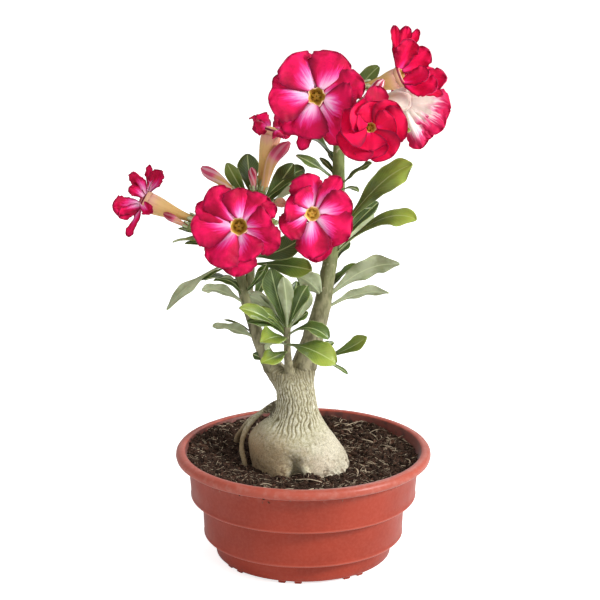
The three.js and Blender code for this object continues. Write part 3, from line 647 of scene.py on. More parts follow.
def bumps(x, y, scale, seed):
    """Smooth noise over a plan, from about -1 to 1."""
    return np.array([noise.noise((a / scale, b / scale, seed)) for a, b in zip(x, y)])


def ground_body():
    """The filling of the pot: its top surface in fine rings, and a plain side and bottom."""
    angle = np.linspace(0, 2 * math.pi, SOIL_SEGMENTS, endpoint=False)
    radii = np.linspace(1.2, SOIL_RADIUS, SOIL_RINGS)[::-1]
    heights = SOIL_LEVEL + (SOIL_EDGE - SOIL_LEVEL) * (radii / SOIL_RADIUS) ** 2
    side = [(r, z, 0) for r, z in SOIL_SIDE]
    levels = np.array(side + [(r, z, 1) for r, z in zip(radii, heights)])
    heaped = (0.5 - 0.5 * np.cos(angle + 0.5)) * levels[:, 2:3] * (levels[:, :1] / SOIL_RADIUS) ** 3
    reach = levels[:, :1] + HEAP_REACH * heaped
    grid = np.zeros((len(levels), SOIL_SEGMENTS, 3))
    grid[..., 0] = reach * np.cos(angle)
    grid[..., 1] = reach * np.sin(angle)
    grid[..., 2] = levels[:, 1:2] + HEAP * heaped
    top = levels[:, 2] > 0
    x, y = grid[top, :, 0].ravel(), grid[top, :, 1].ravel()
    rough = sum(high * bumps(x, y, wide, seed) for high, wide, seed in HUMPS)
    x_at, y_at, height, spread = MOUND
    rough += height * np.exp(-((x - x_at) ** 2 + (y - y_at) ** 2) / spread**2)
    grid[top, :, 2] += rough.reshape(-1, SOIL_SEGMENTS)
    uv = np.zeros((*grid.shape[:2], 2))
    uv[..., 0] = angle / (2 * math.pi)
    uv[..., 1] = np.arange(len(levels))[:, None] * MM
    return Skin().rings(grid, uv, {"top": top[:, None] * 1.0})


ground = ground_body().piece("soil_ground", soil_finish)
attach(ground, "root")
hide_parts("soil")
print("ground faces:", len(ground.data.polygons))

# %% Scattering tree
LOOKS_UP = 0.25  # a face whose normal rises more than this can carry loose bits


def litter_tree(name, bit, material, tilt):
    """A tree that lays a small bit many times on the faces that look up."""
    tree, given, result = node_tree(
        name,
        [("Density", "Float", 1000.0), ("Seed", "Int", 1), ("Smallest", "Float", 0.5),
         ("Largest", "Float", 1.0)],
    )
    normal = node(tree, "GeometryNodeInputNormal").outputs[0]
    upness = node(tree, "ShaderNodeSeparateXYZ", {0: normal}).outputs["Z"]
    facing = maths(tree, "GREATER_THAN", upness, LOOKS_UP)
    spots = node(tree, "GeometryNodeDistributePointsOnFaces",
                 {"Mesh": given["Geometry"], "Selection": facing,
                  "Density": given["Density"], "Seed": given["Seed"]})
    spin = node(tree, "FunctionNodeRandomValue",
                {"Min": (-tilt, -tilt, 0.0), "Max": (tilt, tilt, 2 * math.pi), "Seed": given["Seed"]},
                data_type="FLOAT_VECTOR")
    small = node(tree, "ShaderNodeCombineXYZ", dict.fromkeys("XYZ", given["Smallest"])).outputs[0]
    large = node(tree, "ShaderNodeCombineXYZ", dict.fromkeys("XYZ", given["Largest"])).outputs[0]
    size = node(tree, "FunctionNodeRandomValue", {"Min": small, "Max": large, "Seed": given["Seed"]},
                data_type="FLOAT_VECTOR")
    laid = node(tree, "GeometryNodeInstanceOnPoints",
                {"Points": spots.outputs[0], "Instance": bit(tree),
                 "Rotation": spin.outputs[0], "Scale": size.outputs[0]})
    real = node(tree, "GeometryNodeRealizeInstances", {"Geometry": laid.outputs[0]})
    dressed = node(tree, "GeometryNodeSetMaterial", {"Geometry": real.outputs[0], "Material": material})
    tree.links.new(dressed.outputs[0], result.inputs[0])
    return tree


# %% Loose bits


def crumb_bit(tree):
    """A round crumb of peat."""
    return node(tree, "GeometryNodeMeshIcoSphere", {"Radius": 1 * MM, "Subdivisions": 2}).outputs[0]


def fleck_bit(tree):
    """A rougher, cornered crumb for the finest bits."""
    return node(tree, "GeometryNodeMeshIcoSphere", {"Radius": 1 * MM, "Subdivisions": 1}).outputs[0]


def fibre_bit(tree):
    """A bent fibre, one centimetre long."""
    line = node(tree, "GeometryNodeCurveQuadraticBezier",
                {"Resolution": 6, "Start": (-0.005, 0, 0.0002), "Middle": (0, 0.0035, 0.0022),
                 "End": (0.005, 0, 0.0004)})
    section = node(tree, "GeometryNodeCurvePrimitiveCircle", {"Resolution": 4, "Radius": 0.24 * MM})
    inputs = {"Curve": line.outputs[0], "Profile Curve": section.outputs[0], "Fill Caps": True}
    return node(tree, "GeometryNodeCurveToMesh", inputs).outputs[0]


def chip_bit(tree):
    """A flat chip of bark."""
    return node(tree, "GeometryNodeMeshCube", {"Size": (0.005, 0.0022, 0.0009)}).outputs[0]


# Each kind of loose bit: its piece, its shape and finish, how far it tilts, how many lie on a square
# metre, its seed, and its smallest and largest size.
LITTER = [
    ("soil_clods", crumb_bit, soil_finish, 1.5, 52000.0, 3, 0.9, 3.2),
    ("soil_crumbs", fleck_bit, chip_finish, 3.0, 170000.0, 7, 0.3, 0.9),
    ("soil_fibres", fibre_bit, fibre_finish, 0.7, 70000.0, 11, 0.25, 0.9),
    ("soil_long_fibres", fibre_bit, fibre_finish, 0.35, 1900.0, 23, 1.1, 2.0),
    ("soil_bark_chips", chip_bit, chip_finish, 0.9, 22000.0, 17, 0.5, 1.4),
]
for name, bit, material, tilt, density, seed, smallest, largest in LITTER:
    tree = litter_tree(name.replace("_", " "), bit, material, tilt)
    values = {"Density": density, "Seed": seed, "Smallest": smallest, "Largest": largest}
    made = grown(name, tree, values, material, ground.data)
    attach(made, "root")
    print(name, len(made.data.polygons), "faces")

# %% [markdown]
# ## The swollen trunk
# The caudex stores water. Below it is smooth and pebbly like a potato, and its neck is wrinkled lengthwise.
# Several closed bodies grow into each other here: the bulb, the side roots and the feet of the stems. A
# voxel remesh melts them into one skin, and then noise pushes that skin in and out along its normals.
# The finish reads how high each point lies. It paints shade into the hollows and a lighter colour onto the
# crests.
# It also paints the right side of the bulb lighter and its left side darker, and paints shade into the
# corner under the side roots. On top come the flush of the bulb, its pores, splashes of soil and the dirt
# round its foot.

# %% Trunk finish
CROOK = (-0.024, 0.003, 0.122)  # the corner where the left side roots leave the neck, which gets painted shade, in metres
tree, place, wear = finish("bark", roughness=0.78, specular=0.25)
# Painted shade: the bark is darker in the hollows and lighter on the crests.
crest = marked(tree, "crest")
crest_shaded = stepped(tree, crest, (0.0, "60583f"), (0.3, "9c9472"), (0.55, "cbc5a4"), (1.0, "eeead6"))
blushing = ramped(tree, grainy(tree, place, 38.0, detail=3.0), 0.48, 0.72)
lobe = maths(tree, "MULTIPLY", blushing, marked(tree, "bulb"))
flushed = mixed(tree, maths(tree, "MULTIPLY", lobe, 0.5), crest_shaded, colour("d0a183"))
# Painted light: the bulb's right side is painted lighter and its left side darker.
sideways = node(tree, "ShaderNodeSeparateXYZ", {0: place}).outputs["X"]
right_side_light = maths(tree, "MULTIPLY", ramped(tree, sideways, -0.004, 0.02), marked(tree, "bulb"))
left_side_shade = maths(tree, "MULTIPLY", ramped(tree, sideways, 0.0, -0.022), marked(tree, "bulb"))
darkened = mixed(tree, maths(tree, "MULTIPLY", left_side_shade, 0.75), flushed, colour("a5855f"))
brightened = mixed(tree, maths(tree, "MULTIPLY", right_side_light, 0.55), darkened, colour("f2e8d4"))
greyed = grouped(tree, mottle, {"Vector": place, "Scale": 75.0, "Base": brightened,
                                "Patch": colour("a39a7c"), "Amount": 0.25})
pores = grainy(tree, place, 950.0, detail=4.0)
speckled = mixed(tree, ramped(tree, pores, 0.6, 0.42, 0.0, 0.3), greyed, colour("6f644b"))
higher = node(tree, "ShaderNodeSeparateXYZ", {0: place}).outputs["Z"]
speckled = mixed(tree, ramped(tree, higher, 0.144, 0.158, 0.0, 0.65), speckled, colour("857c5e"))
# Painted shade in the corner under the side roots, and dark cracks in the bark.
from_crook = node(tree, "ShaderNodeVectorMath", {0: place, 1: CROOK}, operation="DISTANCE")
crook_shade_and_cracks = maths(tree, "ADD", ramped(tree, from_crook.outputs["Value"], 0.014, 0.003),
                ramped(tree, grainy(tree, place, 480.0, detail=5.0), 0.3, 0.7, -0.6, 0.5))
speckled = mixed(tree, ramped(tree, crook_shade_and_cracks, 0.2, 0.8, 0.0, 0.8), speckled, colour("3d301c"))
splashes = maths(tree, "MULTIPLY", ramped(tree, grainy(tree, place, 170.0, detail=4.0), 0.54, 0.62),
                 ramped(tree, higher, 0.098, 0.078))
speckled = mixed(tree, maths(tree, "MULTIPLY", splashes, 0.7), speckled, colour("5f4733"))
foot_dirt = grouped(tree, dusting, {"Vector": place, "Level": 0.070, "Depth": 0.013, "Scale": 160.0})
dirty = mixed(tree, maths(tree, "MULTIPLY", foot_dirt, 0.85), speckled, colour("4a3527"))
bark_height = grouped(tree, relief, {"Vector": place, "Scale": 1100.0, "Coarse share": 0.8})
bark_finish = wear(dirty, bark_height, strength=0.45, distance=0.0005)
print("nodes in the bark:", len(tree.nodes))

# %% Trunk and stem lines
# Levels of the trunk as (height, middle x, half width, half depth), from its buried tip upwards.
TRUNK = [
    (44, -2, 14, 12), (52, -2, 26, 22), (62, -2, 36, 31), (71, -1.5, 39.5, 34), (81, -3.5, 40, 36),
    (92, -7, 38.5, 35), (102, -9.5, 34.5, 32), (110, -9, 28.5, 27), (118, -6.5, 21.5, 21),
    (126, -5.5, 17.5, 17.5), (138, -6, 15.8, 15.5), (148, -8, 16.6, 13.6), (156, -9, 18, 11),
]
TRUNK_TOP = 158.0  # the trunk's own rings are capped here, inside the feet of the stems
# Clefts between the lobes of the bulb, as (angle in degrees, depth share, half width in radians).
CLEFTS = [(-93, 0.34, 0.2), (-46, -0.09, 0.5), (-124, -0.05, 0.35), (60, 0.12, 0.3), (170, 0.07, 0.3)]
# Each side root: points of its line from the trunk outwards, and its radii along it.
SIDE_ROOTS = [
    ([(-10, 4, 134), (-22, 7, 128), (-33, 10, 119.5), (-44, 18, 109), (-52, 28, 96), (-56, 37, 85),
      (-57, 42, 72)],
     [2.6, 2.3, 2.1, 2.1, 2.2, 2.1, 2]),
    ([(-24, 7, 127.5), (-34, 7.5, 119.5), (-43, 8, 110.5), (-48.7, 6, 101), (-51, 2, 91),
      (-48.5, -3, 80), (-47, -5, 70)],
     [1.8, 1.9, 2.1, 2.2, 2.1, 2.1, 2]),
    ([(-12, 3, 130), (-21, 5, 127), (-27, 6.5, 122), (-31, 7, 118)], [3, 2.7, 2, 1]),
    ([(2, 12, 118), (8, 26, 110), (12, 38, 98), (13, 46, 86), (14, 50, 70)], [3, 3.4, 3.4, 3, 2.2]),
    ([(-1, -26, 92), (1, -33, 86), (4, -37.5, 80), (9, -40, 74), (13, -40, 66)], [3, 3.2, 2.6, 2.2, 1.8]),
]
# Each stem: points of its line from the trunk upwards, and its radii along it.
STEMS = {
    "left": (
        [(-14, 1, 146), (-26, 0, 163), (-36, -1, 184), (-41, -1, 201), (-46, 0, 217), (-51, 0, 237),
         (-56, -2, 258), (-59, -3, 274)],
        [10, 7.5, 5.6, 5, 4.8, 4.3, 3.6, 3],
    ),
    "leftInner": (
        [(-45, 0, 212), (-43, 4, 238), (-41, 8, 262), (-40, 10, 284), (-40, 10, 300)],
        [3.4, 3.6, 3.4, 3.2, 2.8],
    ),
    "right": (
        [(-4, 1, 144), (1, 2, 164), (8, 4, 184), (13, 5, 202), (17, 6, 220), (21, 8, 245), (25, 8, 275),
         (28, 8, 305), (28, 8, 335), (29, 7, 366)],
        [12, 9.6, 8, 6.8, 6, 5.8, 5.4, 5, 4.6, 3.4],
    ),
    "middle": ([(-10, -3, 148), (-12, -9, 165), (-13, -14, 182), (-13, -16, 200)], [4.5, 3.4, 2.8, 2.7]),
}
BARK_TOP = 161.0  # height up to which the feet of the stems belong to the trunk
stem_lines = {name: smooth_line(points) for name, (points, _) in STEMS.items()}
print("stems:", {name: round(line.length) for name, line in stem_lines.items()}, "mm long")

# %% Trunk body
CLEFT_LOW, CLEFT_HIGH = 72, 104  # the clefts are full up to the first height and end at the second


def ease(value, low, high):
    """A smooth step from 0 at low to 1 at high."""
    t = np.clip((value - low) / (high - low), 0, 1)
    return t * t * (3 - 2 * t)


def width_along(radii, share):
    """The radius at a share of a line whose radii are spread evenly over it."""
    return np.interp(share, np.linspace(0, 1, len(radii)), radii)


def bulb_rings(levels=70, sides=96):
    """The trunk as smooth rings, with its clefts."""
    table = np.array(TRUNK, float)
    line = smooth_line(np.column_stack([table[:, 0], table[:, 1], table[:, 2]]))
    depth = smooth_line(np.column_stack([table[:, 0], table[:, 3], 0 * table[:, 3]]))
    heights = np.linspace(TRUNK[0][0], TRUNK_TOP, levels)
    middle = np.interp(heights, line.points[:, 0], line.points[:, 1])
    wide = np.interp(heights, line.points[:, 0], line.points[:, 2])
    deep = np.interp(heights, depth.points[:, 0], depth.points[:, 1])
    angle = np.linspace(0, 2 * math.pi, sides, endpoint=False)
    low = 1 - ease(heights, CLEFT_LOW, CLEFT_HIGH)
    share = np.ones((levels, sides))
    for at, amount, spread in CLEFTS:
        away = np.arctan2(np.sin(angle - math.radians(at)), np.cos(angle - math.radians(at)))
        share -= amount * low[:, None] * np.exp(-((away / spread) ** 2))
    grid = np.zeros((levels, sides, 3))
    grid[..., 0] = middle[:, None] + wide[:, None] * share * np.cos(angle)
    grid[..., 1] = deep[:, None] * share * np.sin(angle)
    grid[..., 2] = heights[:, None]
    return grid


def trunk_body():
    """The bulb, the side roots and the feet of the stems, still as separate tubes."""
    skin = Skin()
    grid = bulb_rings()
    skin.rings(grid, np.zeros((*grid.shape[:2], 2)), {})
    shares = np.linspace(0, 1, 40)
    for points, radii in SIDE_ROOTS:
        sweep(skin, smooth_line(points), shares, width_along(radii, shares), 20)
    for name in ("left", "right", "middle"):
        points, radii = STEMS[name]
        line = stem_lines[name]
        stop = line.share_at_height(BARK_TOP + 1.5)
        part = np.linspace(0.02, stop, 16)
        sweep(skin, line, part, width_along(radii, part), 32)
    return skin.piece("caudex_bark", bark_finish)


VOXEL = 0.7 * MM
caudex = trunk_body()
melt = caudex.modifiers.new("melt together", "REMESH")
melt.mode = "VOXEL"
melt.voxel_size = VOXEL
soften = caudex.modifiers.new("soften", "SMOOTH")
soften.factor = 0.5
soften.iterations = 5
settled(caudex)
print("trunk faces after the remesh:", len(caudex.data.polygons))

# %% Wrinkles and pebbles
RIDGES = 38  # lengthwise wrinkles round the neck
NECK_START = 101  # height at which the wrinkles begin at the front
NECK_RISE = 9  # how fast that height rises towards the sides
NECK_GROWTH = 16  # height over which they grow to their full depth


def mesh_arrays(mesh):
    """The points and normals of a mesh as rows of three numbers."""
    points = np.zeros(len(mesh.vertices) * 3)
    normals = np.zeros(len(mesh.vertices) * 3)
    mesh.vertices.foreach_get("co", points)
    mesh.vertices.foreach_get("normal", normals)
    return points.reshape(-1, 3), normals.reshape(-1, 3)


def sampled(places):
    """Smooth noise at each place, from about -1 to 1."""
    return np.array([noise.noise(p) for p in places.tolist()])


def neck_wrinkles(p):
    """How much each point belongs to the wrinkled neck, from 0 to 1, and its height on the ridges."""
    middle = np.interp(p[:, 2], [row[0] for row in TRUNK], [row[1] for row in TRUNK])
    angle = np.arctan2(p[:, 1], p[:, 0] - middle)
    from_front = np.abs(np.angle(np.exp(1j * (angle + math.pi / 2))))
    start = NECK_START + NECK_RISE * np.minimum(from_front, 1.8) ** 2
    neck = ease(p[:, 2], start, start + NECK_GROWTH)
    bend = sampled(np.column_stack([np.cos(angle) * 3, np.sin(angle) * 3, p[:, 2] / 6]))
    sway = sampled(np.column_stack([np.cos(angle) * 2, np.sin(angle) * 2, p[:, 2] / 15 + 40]))
    ridge_place = angle * RIDGES / 2 + 2.4 * bend + 2.2 * sway
    ridges = 1 - (1 - np.abs(np.sin(ridge_place))) ** 2 * 1.6
    broken = sampled(np.column_stack([ridge_place, p[:, 2] / 3.2, 0 * angle + 7]))
    return neck, ridges * (0.75 + 0.6 * broken) + 0.35 * broken


def wrinkle(mesh):
    """Pushes the bark in and out. Keeps how high each point lies as the mark "crest"."""
    points, normals = mesh_arrays(mesh)
    p = points / MM
    neck, neck_relief = neck_wrinkles(p)
    pebbles = sampled(p / 2.3) + 0.6 * sampled(p / 1.3 + 9)
    lumps = sampled(p / 13 + 4)
    warts = np.maximum(0, sampled(p / 4.2 + 20)) * ease(p[:, 0], 8, 24) * (1 - ease(p[:, 2], 82, 100))
    pits = np.maximum(0, sampled(p / 2.7 + 31) - 0.22) * (1 - ease(p[:, 2], 88, 102)) * ease(p[:, 0], 6, 20)
    height = neck * (neck_relief * 0.55 - 0.3) + (1 - neck) * (0.25 * pebbles + 0.7 * lumps)
    height += 1.9 * warts - 2.6 * pits
    moved = points + normals * (height * MM)[:, None]
    mesh.vertices.foreach_set("co", moved.ravel())
    crest = 0.62 + neck * (neck_relief - 0.62) * 0.8 + (1 - neck) * 0.3 * pebbles - 0.9 * pits
    for label, values in (("crest", np.clip(crest, 0, 1)), ("bulb", 1 - ease(p[:, 2], 96, 118))):
        mark = mesh.attributes.new(label, "FLOAT", "POINT")
        mark.data.foreach_set("value", values.astype(np.float32))
    mesh.update()


bark = caudex.data
wrinkle(bark)
bark.polygons.foreach_set("use_smooth", [True] * len(bark.polygons))
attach(caudex, "root")
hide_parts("caudex")
print("trunk wrinkled:", len(bark.vertices), "points")

# %% [markdown]
# ## Leaves and petals: one blade
# A leaf and a petal are the same kind of shape: a thin blade that bends along its midrib, folds or cups
# across it and ripples at its edge. `blade` lays a closed ring of points round each cross-section, so that
# the edge is thin and the body is a real solid with an upper and a lower side.
#
# A leaf and a petal differ only in these numbers:
# - Outline: `stalk` is the width at the root, `widest` the place of the greatest width, `swell` how late
#   the blade widens, `blunt` how full its tip is, and `bow` how far its sides stay behind at the tip.
# - Midrib: `arch` lifts its middle. `via` is a place in the plant that it passes instead.
# - Across: `fold` lifts both halves like the pages of a book, and `cup` bends them in one curve.
# - Edge: `wave` and `ripples` are the height and number of its waves, `ruffle` is the height of the small
#   ones, and `ragged` says how uneven its outline is.
# - Surface: `crease` and `swale` are the heights of fine and of broad folds.
# - `thick` is the thickness, and `rows` and `columns` say how fine the mesh is.
# - `tone` is the shade of a leaf, from 0 for dark to 1 for light, and places the streaks of a petal.
#   Without it the seed chooses it.

# %% What a leaf and a petal are like
LEAF = dict(
    stalk=0.08, widest=0.8, swell=1.9, blunt=2, bow=0.5, arch=0.12, via=None, fold=0.25, cup=0.0,
    wave=1.2, ripples=2, ruffle=0.35, ragged=0.02, crease=0.25, swale=0.4,
    thick=0.55, rows=26, columns=14, tone=None,
)
PETAL = dict(
    stalk=0.2, widest=0.62, swell=0.9, blunt=2.2, bow=0.1, arch=0.05, via=None, fold=-0.02, cup=-0.3,
    wave=1.2, ripples=1.3, ruffle=1.0, ragged=0.045, crease=0.4, swale=1.5,
    thick=0.5, rows=36, columns=24, tone=None,
)
LAST_ROW = 0.998  # the last ring lies just before the tip, so that it isn't a single point
CURL_START = 0.55  # a curled blade begins to roll down here
ROOT_THICKENING = 1.2  # how much thicker a blade is at its root, in millimetres

# %% Blade


def outline(u, stalk, swell, widest, blunt):
    """Half width as a share of the widest, from root (0) to tip (1)."""
    body = stalk + (1 - stalk) * np.sin(math.pi / 2 * np.minimum(u / widest, 1) ** swell)
    beyond = np.maximum(0, (u - widest) / (1.0001 - widest))
    tip = np.maximum(0, 1 - beyond**blunt) ** (1 / blunt)
    return np.where(u < widest, body, tip)


def midrib(s, root, tip, look, u):
    """The curve of a blade's midrib, and the way it runs at each row."""
    bend = (root + tip) / 2 + look * 2 * s["arch"] * np.linalg.norm(tip - root)
    if s["via"] is not None:
        bend = 2 * np.asarray(s["via"], float) - (root + tip) / 2
    rib = (1 - u) ** 2 * root + 2 * u * (1 - u) * bend + u**2 * tip
    return rib, unit(2 * (1 - u) * (bend - root) + 2 * u * (tip - bend))


def lifted(s, u, v, half, size, seed):
    """How far each point of a blade lies above a flat one. u runs to the tip, v from edge to edge."""
    phase = 2 * math.pi * s["ripples"] * u + np.where(v > 0, 0, 1.9)
    lift = s["fold"] * half * np.sqrt(v**2 + 0.02) + s["wave"] * np.sin(phase) * v**2 * np.minimum(1, 2 * u)
    lift = lift + s["cup"] * half * v**2
    lift = lift + s["ruffle"] * size * np.abs(v) ** 3 * u * np.sin(27 * u + 3 * seed + 2 * np.sign(v))
    lift = lift + s["ruffle"] * size * u**5 * np.sin(7.5 * v + 2 * seed)
    lift = lift + s["crease"] * size * u * (1 - 0.5 * u) * np.sin(9 * v + 4 * seed + 2.5 * u)
    lift = lift + s["swale"] * size * np.sin(math.pi * u) * np.sin(4.2 * v + 2.5 * np.sin(5 * seed))
    groove = 0.35 * size * np.exp(-((v * half / 0.9) ** 2))
    return lift - groove


def upper_and_lower(middle, up, body):
    """Closed rings round a blade: its upper side from edge to edge, and back along its lower side."""
    normal = np.cross(np.gradient(middle, axis=1), np.gradient(middle, axis=0))
    weak = np.linalg.norm(normal, axis=-1, keepdims=True) < 1e-9
    normal = np.where(weak, up[:, None, :], unit(normal))
    above = middle + normal * body[..., None]
    below = middle - normal * body[..., None]
    return np.concatenate([above, below[:, -2:0:-1]], axis=1)


def blade(skin, kind, root, tip, width, face, seed=0.0, curl=0.0, transform=None, marks=(), **shape):
    """Adds one blade. face is where its upper side looks, and curl rolls its end down."""
    s = {**kind, **shape}
    root, tip = np.asarray(root, float), np.asarray(tip, float)
    look = unit(face)
    length = np.linalg.norm(tip - root)
    t = np.linspace(0, 1, s["rows"])
    u = (LAST_ROW * (1 - (1 - t) ** 1.5))[:, None]
    v = np.sin(math.pi / 2 * np.linspace(-1, 1, s["columns"] + 1))[None, :]
    rib, along = midrib(s, root, tip, look, u)
    side = unit(np.cross(along, look))
    up = np.cross(side, along)
    ragged = 1 + s["ragged"] * (np.sin(19 * u + 5 * seed) + np.sin(43 * u + seed + v)) * u
    half = width / 2 * outline(u, s["stalk"], s["swell"], s["widest"], s["blunt"]) * ragged
    size = min(1.0, width / 16)
    rolled = np.maximum(0, u - CURL_START) ** 2
    lift = lifted(s, u, v, half, size, seed) - curl * length * rolled
    pull = -s["bow"] * half * v**2 * u**3 - 0.4 * abs(curl) * length * rolled
    middle = rib[:, None, :] + side[:, None, :] * (half * v)[..., None]
    middle = middle + up[:, None, :] * lift[..., None] + along[:, None, :] * (pull + 0 * v)[..., None]
    body = (s["thick"] + ROOT_THICKENING * (1 - u) ** 3) / 2 * np.sqrt(np.maximum(0, 1 - v**6))
    grid = upper_and_lower(middle, up, body)
    if transform is not None:
        grid = grid @ transform[:3, :3].T + transform[:3, 3]
    across = np.concatenate([v, v[:, -2:0:-1]], axis=1) + 0 * u
    upper = np.concatenate([np.ones_like(v), np.zeros_like(v[:, 1:-1])], axis=1)
    upper[0, [0, s["columns"]]] = 0.5
    uv = np.stack([across * width / 2 * MM, u * length * MM + 0 * across], -1)
    tone = seed % 1.0 if s["tone"] is None else s["tone"]
    named = {"along": u, "across": across, "upper": upper, "tone": tone, **dict(marks)}
    return skin.rings(grid, uv, named)


for label, kind in (("leaf", LEAF), ("petal", PETAL)):
    print("points in each", label, 2 * kind["rows"] * kind["columns"] + 2)

# %% [markdown]
# ## Leaves
# Desert rose leaves are glossy and dark above, dull and pale below, with a pale midrib and faint side
# veins. The finish reads the blade's own marks: which side a point is on, and how far along and across it
# lies. The stems fade from grey bark at their foot to green where they are young.

# %% Leaf finish
tree, place, wear = finish("leaf", roughness=0.38, specular=0.5, subsurface=0.08, scatter=0.0015)
along, across = marked(tree, "along"), marked(tree, "across")
upper, tone = marked(tree, "upper"), marked(tree, "tone")
shade = stepped(tree, tone, (0.0, "40541e"), (0.5, "5d7628"), (1.0, "8ea23e"))
top = grouped(tree, mottle, {"Vector": place, "Scale": 70.0, "Base": shade,
                             "Patch": colour("35491c"), "Amount": 0.6})
# Painted shade: each leaf grows darker towards its base.
top = mixed(tree, ramped(tree, along, 0.75, 0.35, 0.0, 0.6), top, colour("3e4f1c"))
slant = maths(tree, "SUBTRACT", maths(tree, "MULTIPLY", along, 15.0),
              maths(tree, "MULTIPLY", maths(tree, "ABSOLUTE", across), 5.0))
off_vein = maths(tree, "ABSOLUTE", maths(tree, "SUBTRACT", maths(tree, "FRACT", slant), 0.5))
side_veins = ramped(tree, off_vein, 0.1, 0.0)
veined = mixed(tree, maths(tree, "MULTIPLY", side_veins, 0.3), top, colour("9db562"))
uv = node(tree, "ShaderNodeUVMap", uv_map="grain").outputs[0]
off_rib = maths(tree, "ABSOLUTE", node(tree, "ShaderNodeSeparateXYZ", {0: uv}).outputs["X"])
broader = maths(tree, "MULTIPLY", ramped(tree, along, 0.6, 0.1), 0.0007)
rib = ramped(tree, off_rib, maths(tree, "ADD", 0.0007, broader), 0.0003)
topped = mixed(tree, maths(tree, "MULTIPLY", rib, 0.75), veined, colour("b9c98a"))
edge = ramped(tree, maths(tree, "ABSOLUTE", across), 0.86, 1.0)
edged = mixed(tree, maths(tree, "MULTIPLY", edge, 0.5), topped, colour("c2d382"))
under_tone = grouped(tree, mottle, {"Vector": place, "Scale": 90.0, "Base": colour("b4bd98"),
                                    "Patch": colour("8a9466"), "Amount": 0.7})
under = mixed(tree, maths(tree, "MULTIPLY", rib, 0.6), under_tone, colour("cdd9a8"))
# Painted highlight on the outer part of the lighter leaves.
outer_highlight = maths(tree, "MULTIPLY", ramped(tree, along, 0.55, 0.95), ramped(tree, tone, 0.25, 0.8))
outer_highlighted = mixed(tree, maths(tree, "MULTIPLY", outer_highlight, 0.65), edged, colour("aebd48"))
greened = mixed(tree, ramped(tree, upper, 0.35, 0.65), under, outer_highlighted)
stalky = mixed(tree, ramped(tree, along, 0.16, 0.0), greened, colour("a9b878"))
vein_height = maths(tree, "ADD", maths(tree, "MULTIPLY", side_veins, -0.6), grainy(tree, place, 700.0))
gloss = ramped(tree, upper, 0.2, 0.8, 0.62, 0.34)
leaf_finish = wear(stalky, vein_height, strength=0.35, distance=0.0004, rough=gloss)
print("nodes in the leaf:", len(tree.nodes))

# %% Stem finish
tree, place, wear = finish("stem", roughness=0.6, specular=0.3)
level = node(tree, "ShaderNodeSeparateXYZ", {0: place}).outputs["Z"]
uneven = maths(tree, "MULTIPLY", grainy(tree, place, 60.0), 0.05)
young = ramped(tree, maths(tree, "ADD", level, uneven), 0.2, 0.33)
old = grouped(tree, mottle, {"Vector": stretched(tree, place, (1, 1, 0.35)), "Scale": 330.0,
                             "Base": colour("9c9576"), "Patch": colour("5f5940"), "Amount": 0.85})
green = grouped(tree, mottle, {"Vector": place, "Scale": 160.0, "Base": colour("7c8950"),
                               "Patch": colour("586632"), "Amount": 0.75})
both = mixed(tree, young, old, green)
scars = ramped(tree, grainy(tree, place, 210.0, detail=2.0), 0.64, 0.72)
scarred = mixed(tree, maths(tree, "MULTIPLY", scars, 0.55), both, colour("c9c2a0"))
stem_height = grouped(tree, relief, {"Vector": stretched(tree, place, (1, 1, 0.5)), "Scale": 600.0,
                                     "Coarse share": 1.5})
stem_finish = wear(scarred, stem_height, strength=0.5, distance=0.0005)
print("nodes in the stem:", len(tree.nodes))

# %% [markdown]
# ## Stems
# Each stem is a skin along its line. Old leaves leave small scars that swell the stem a little, so its
# outline is never quite straight. The stalks of the blooms and buds leave the stems near their tops and
# are one skin with them, so the tables of the blooms and buds come first.

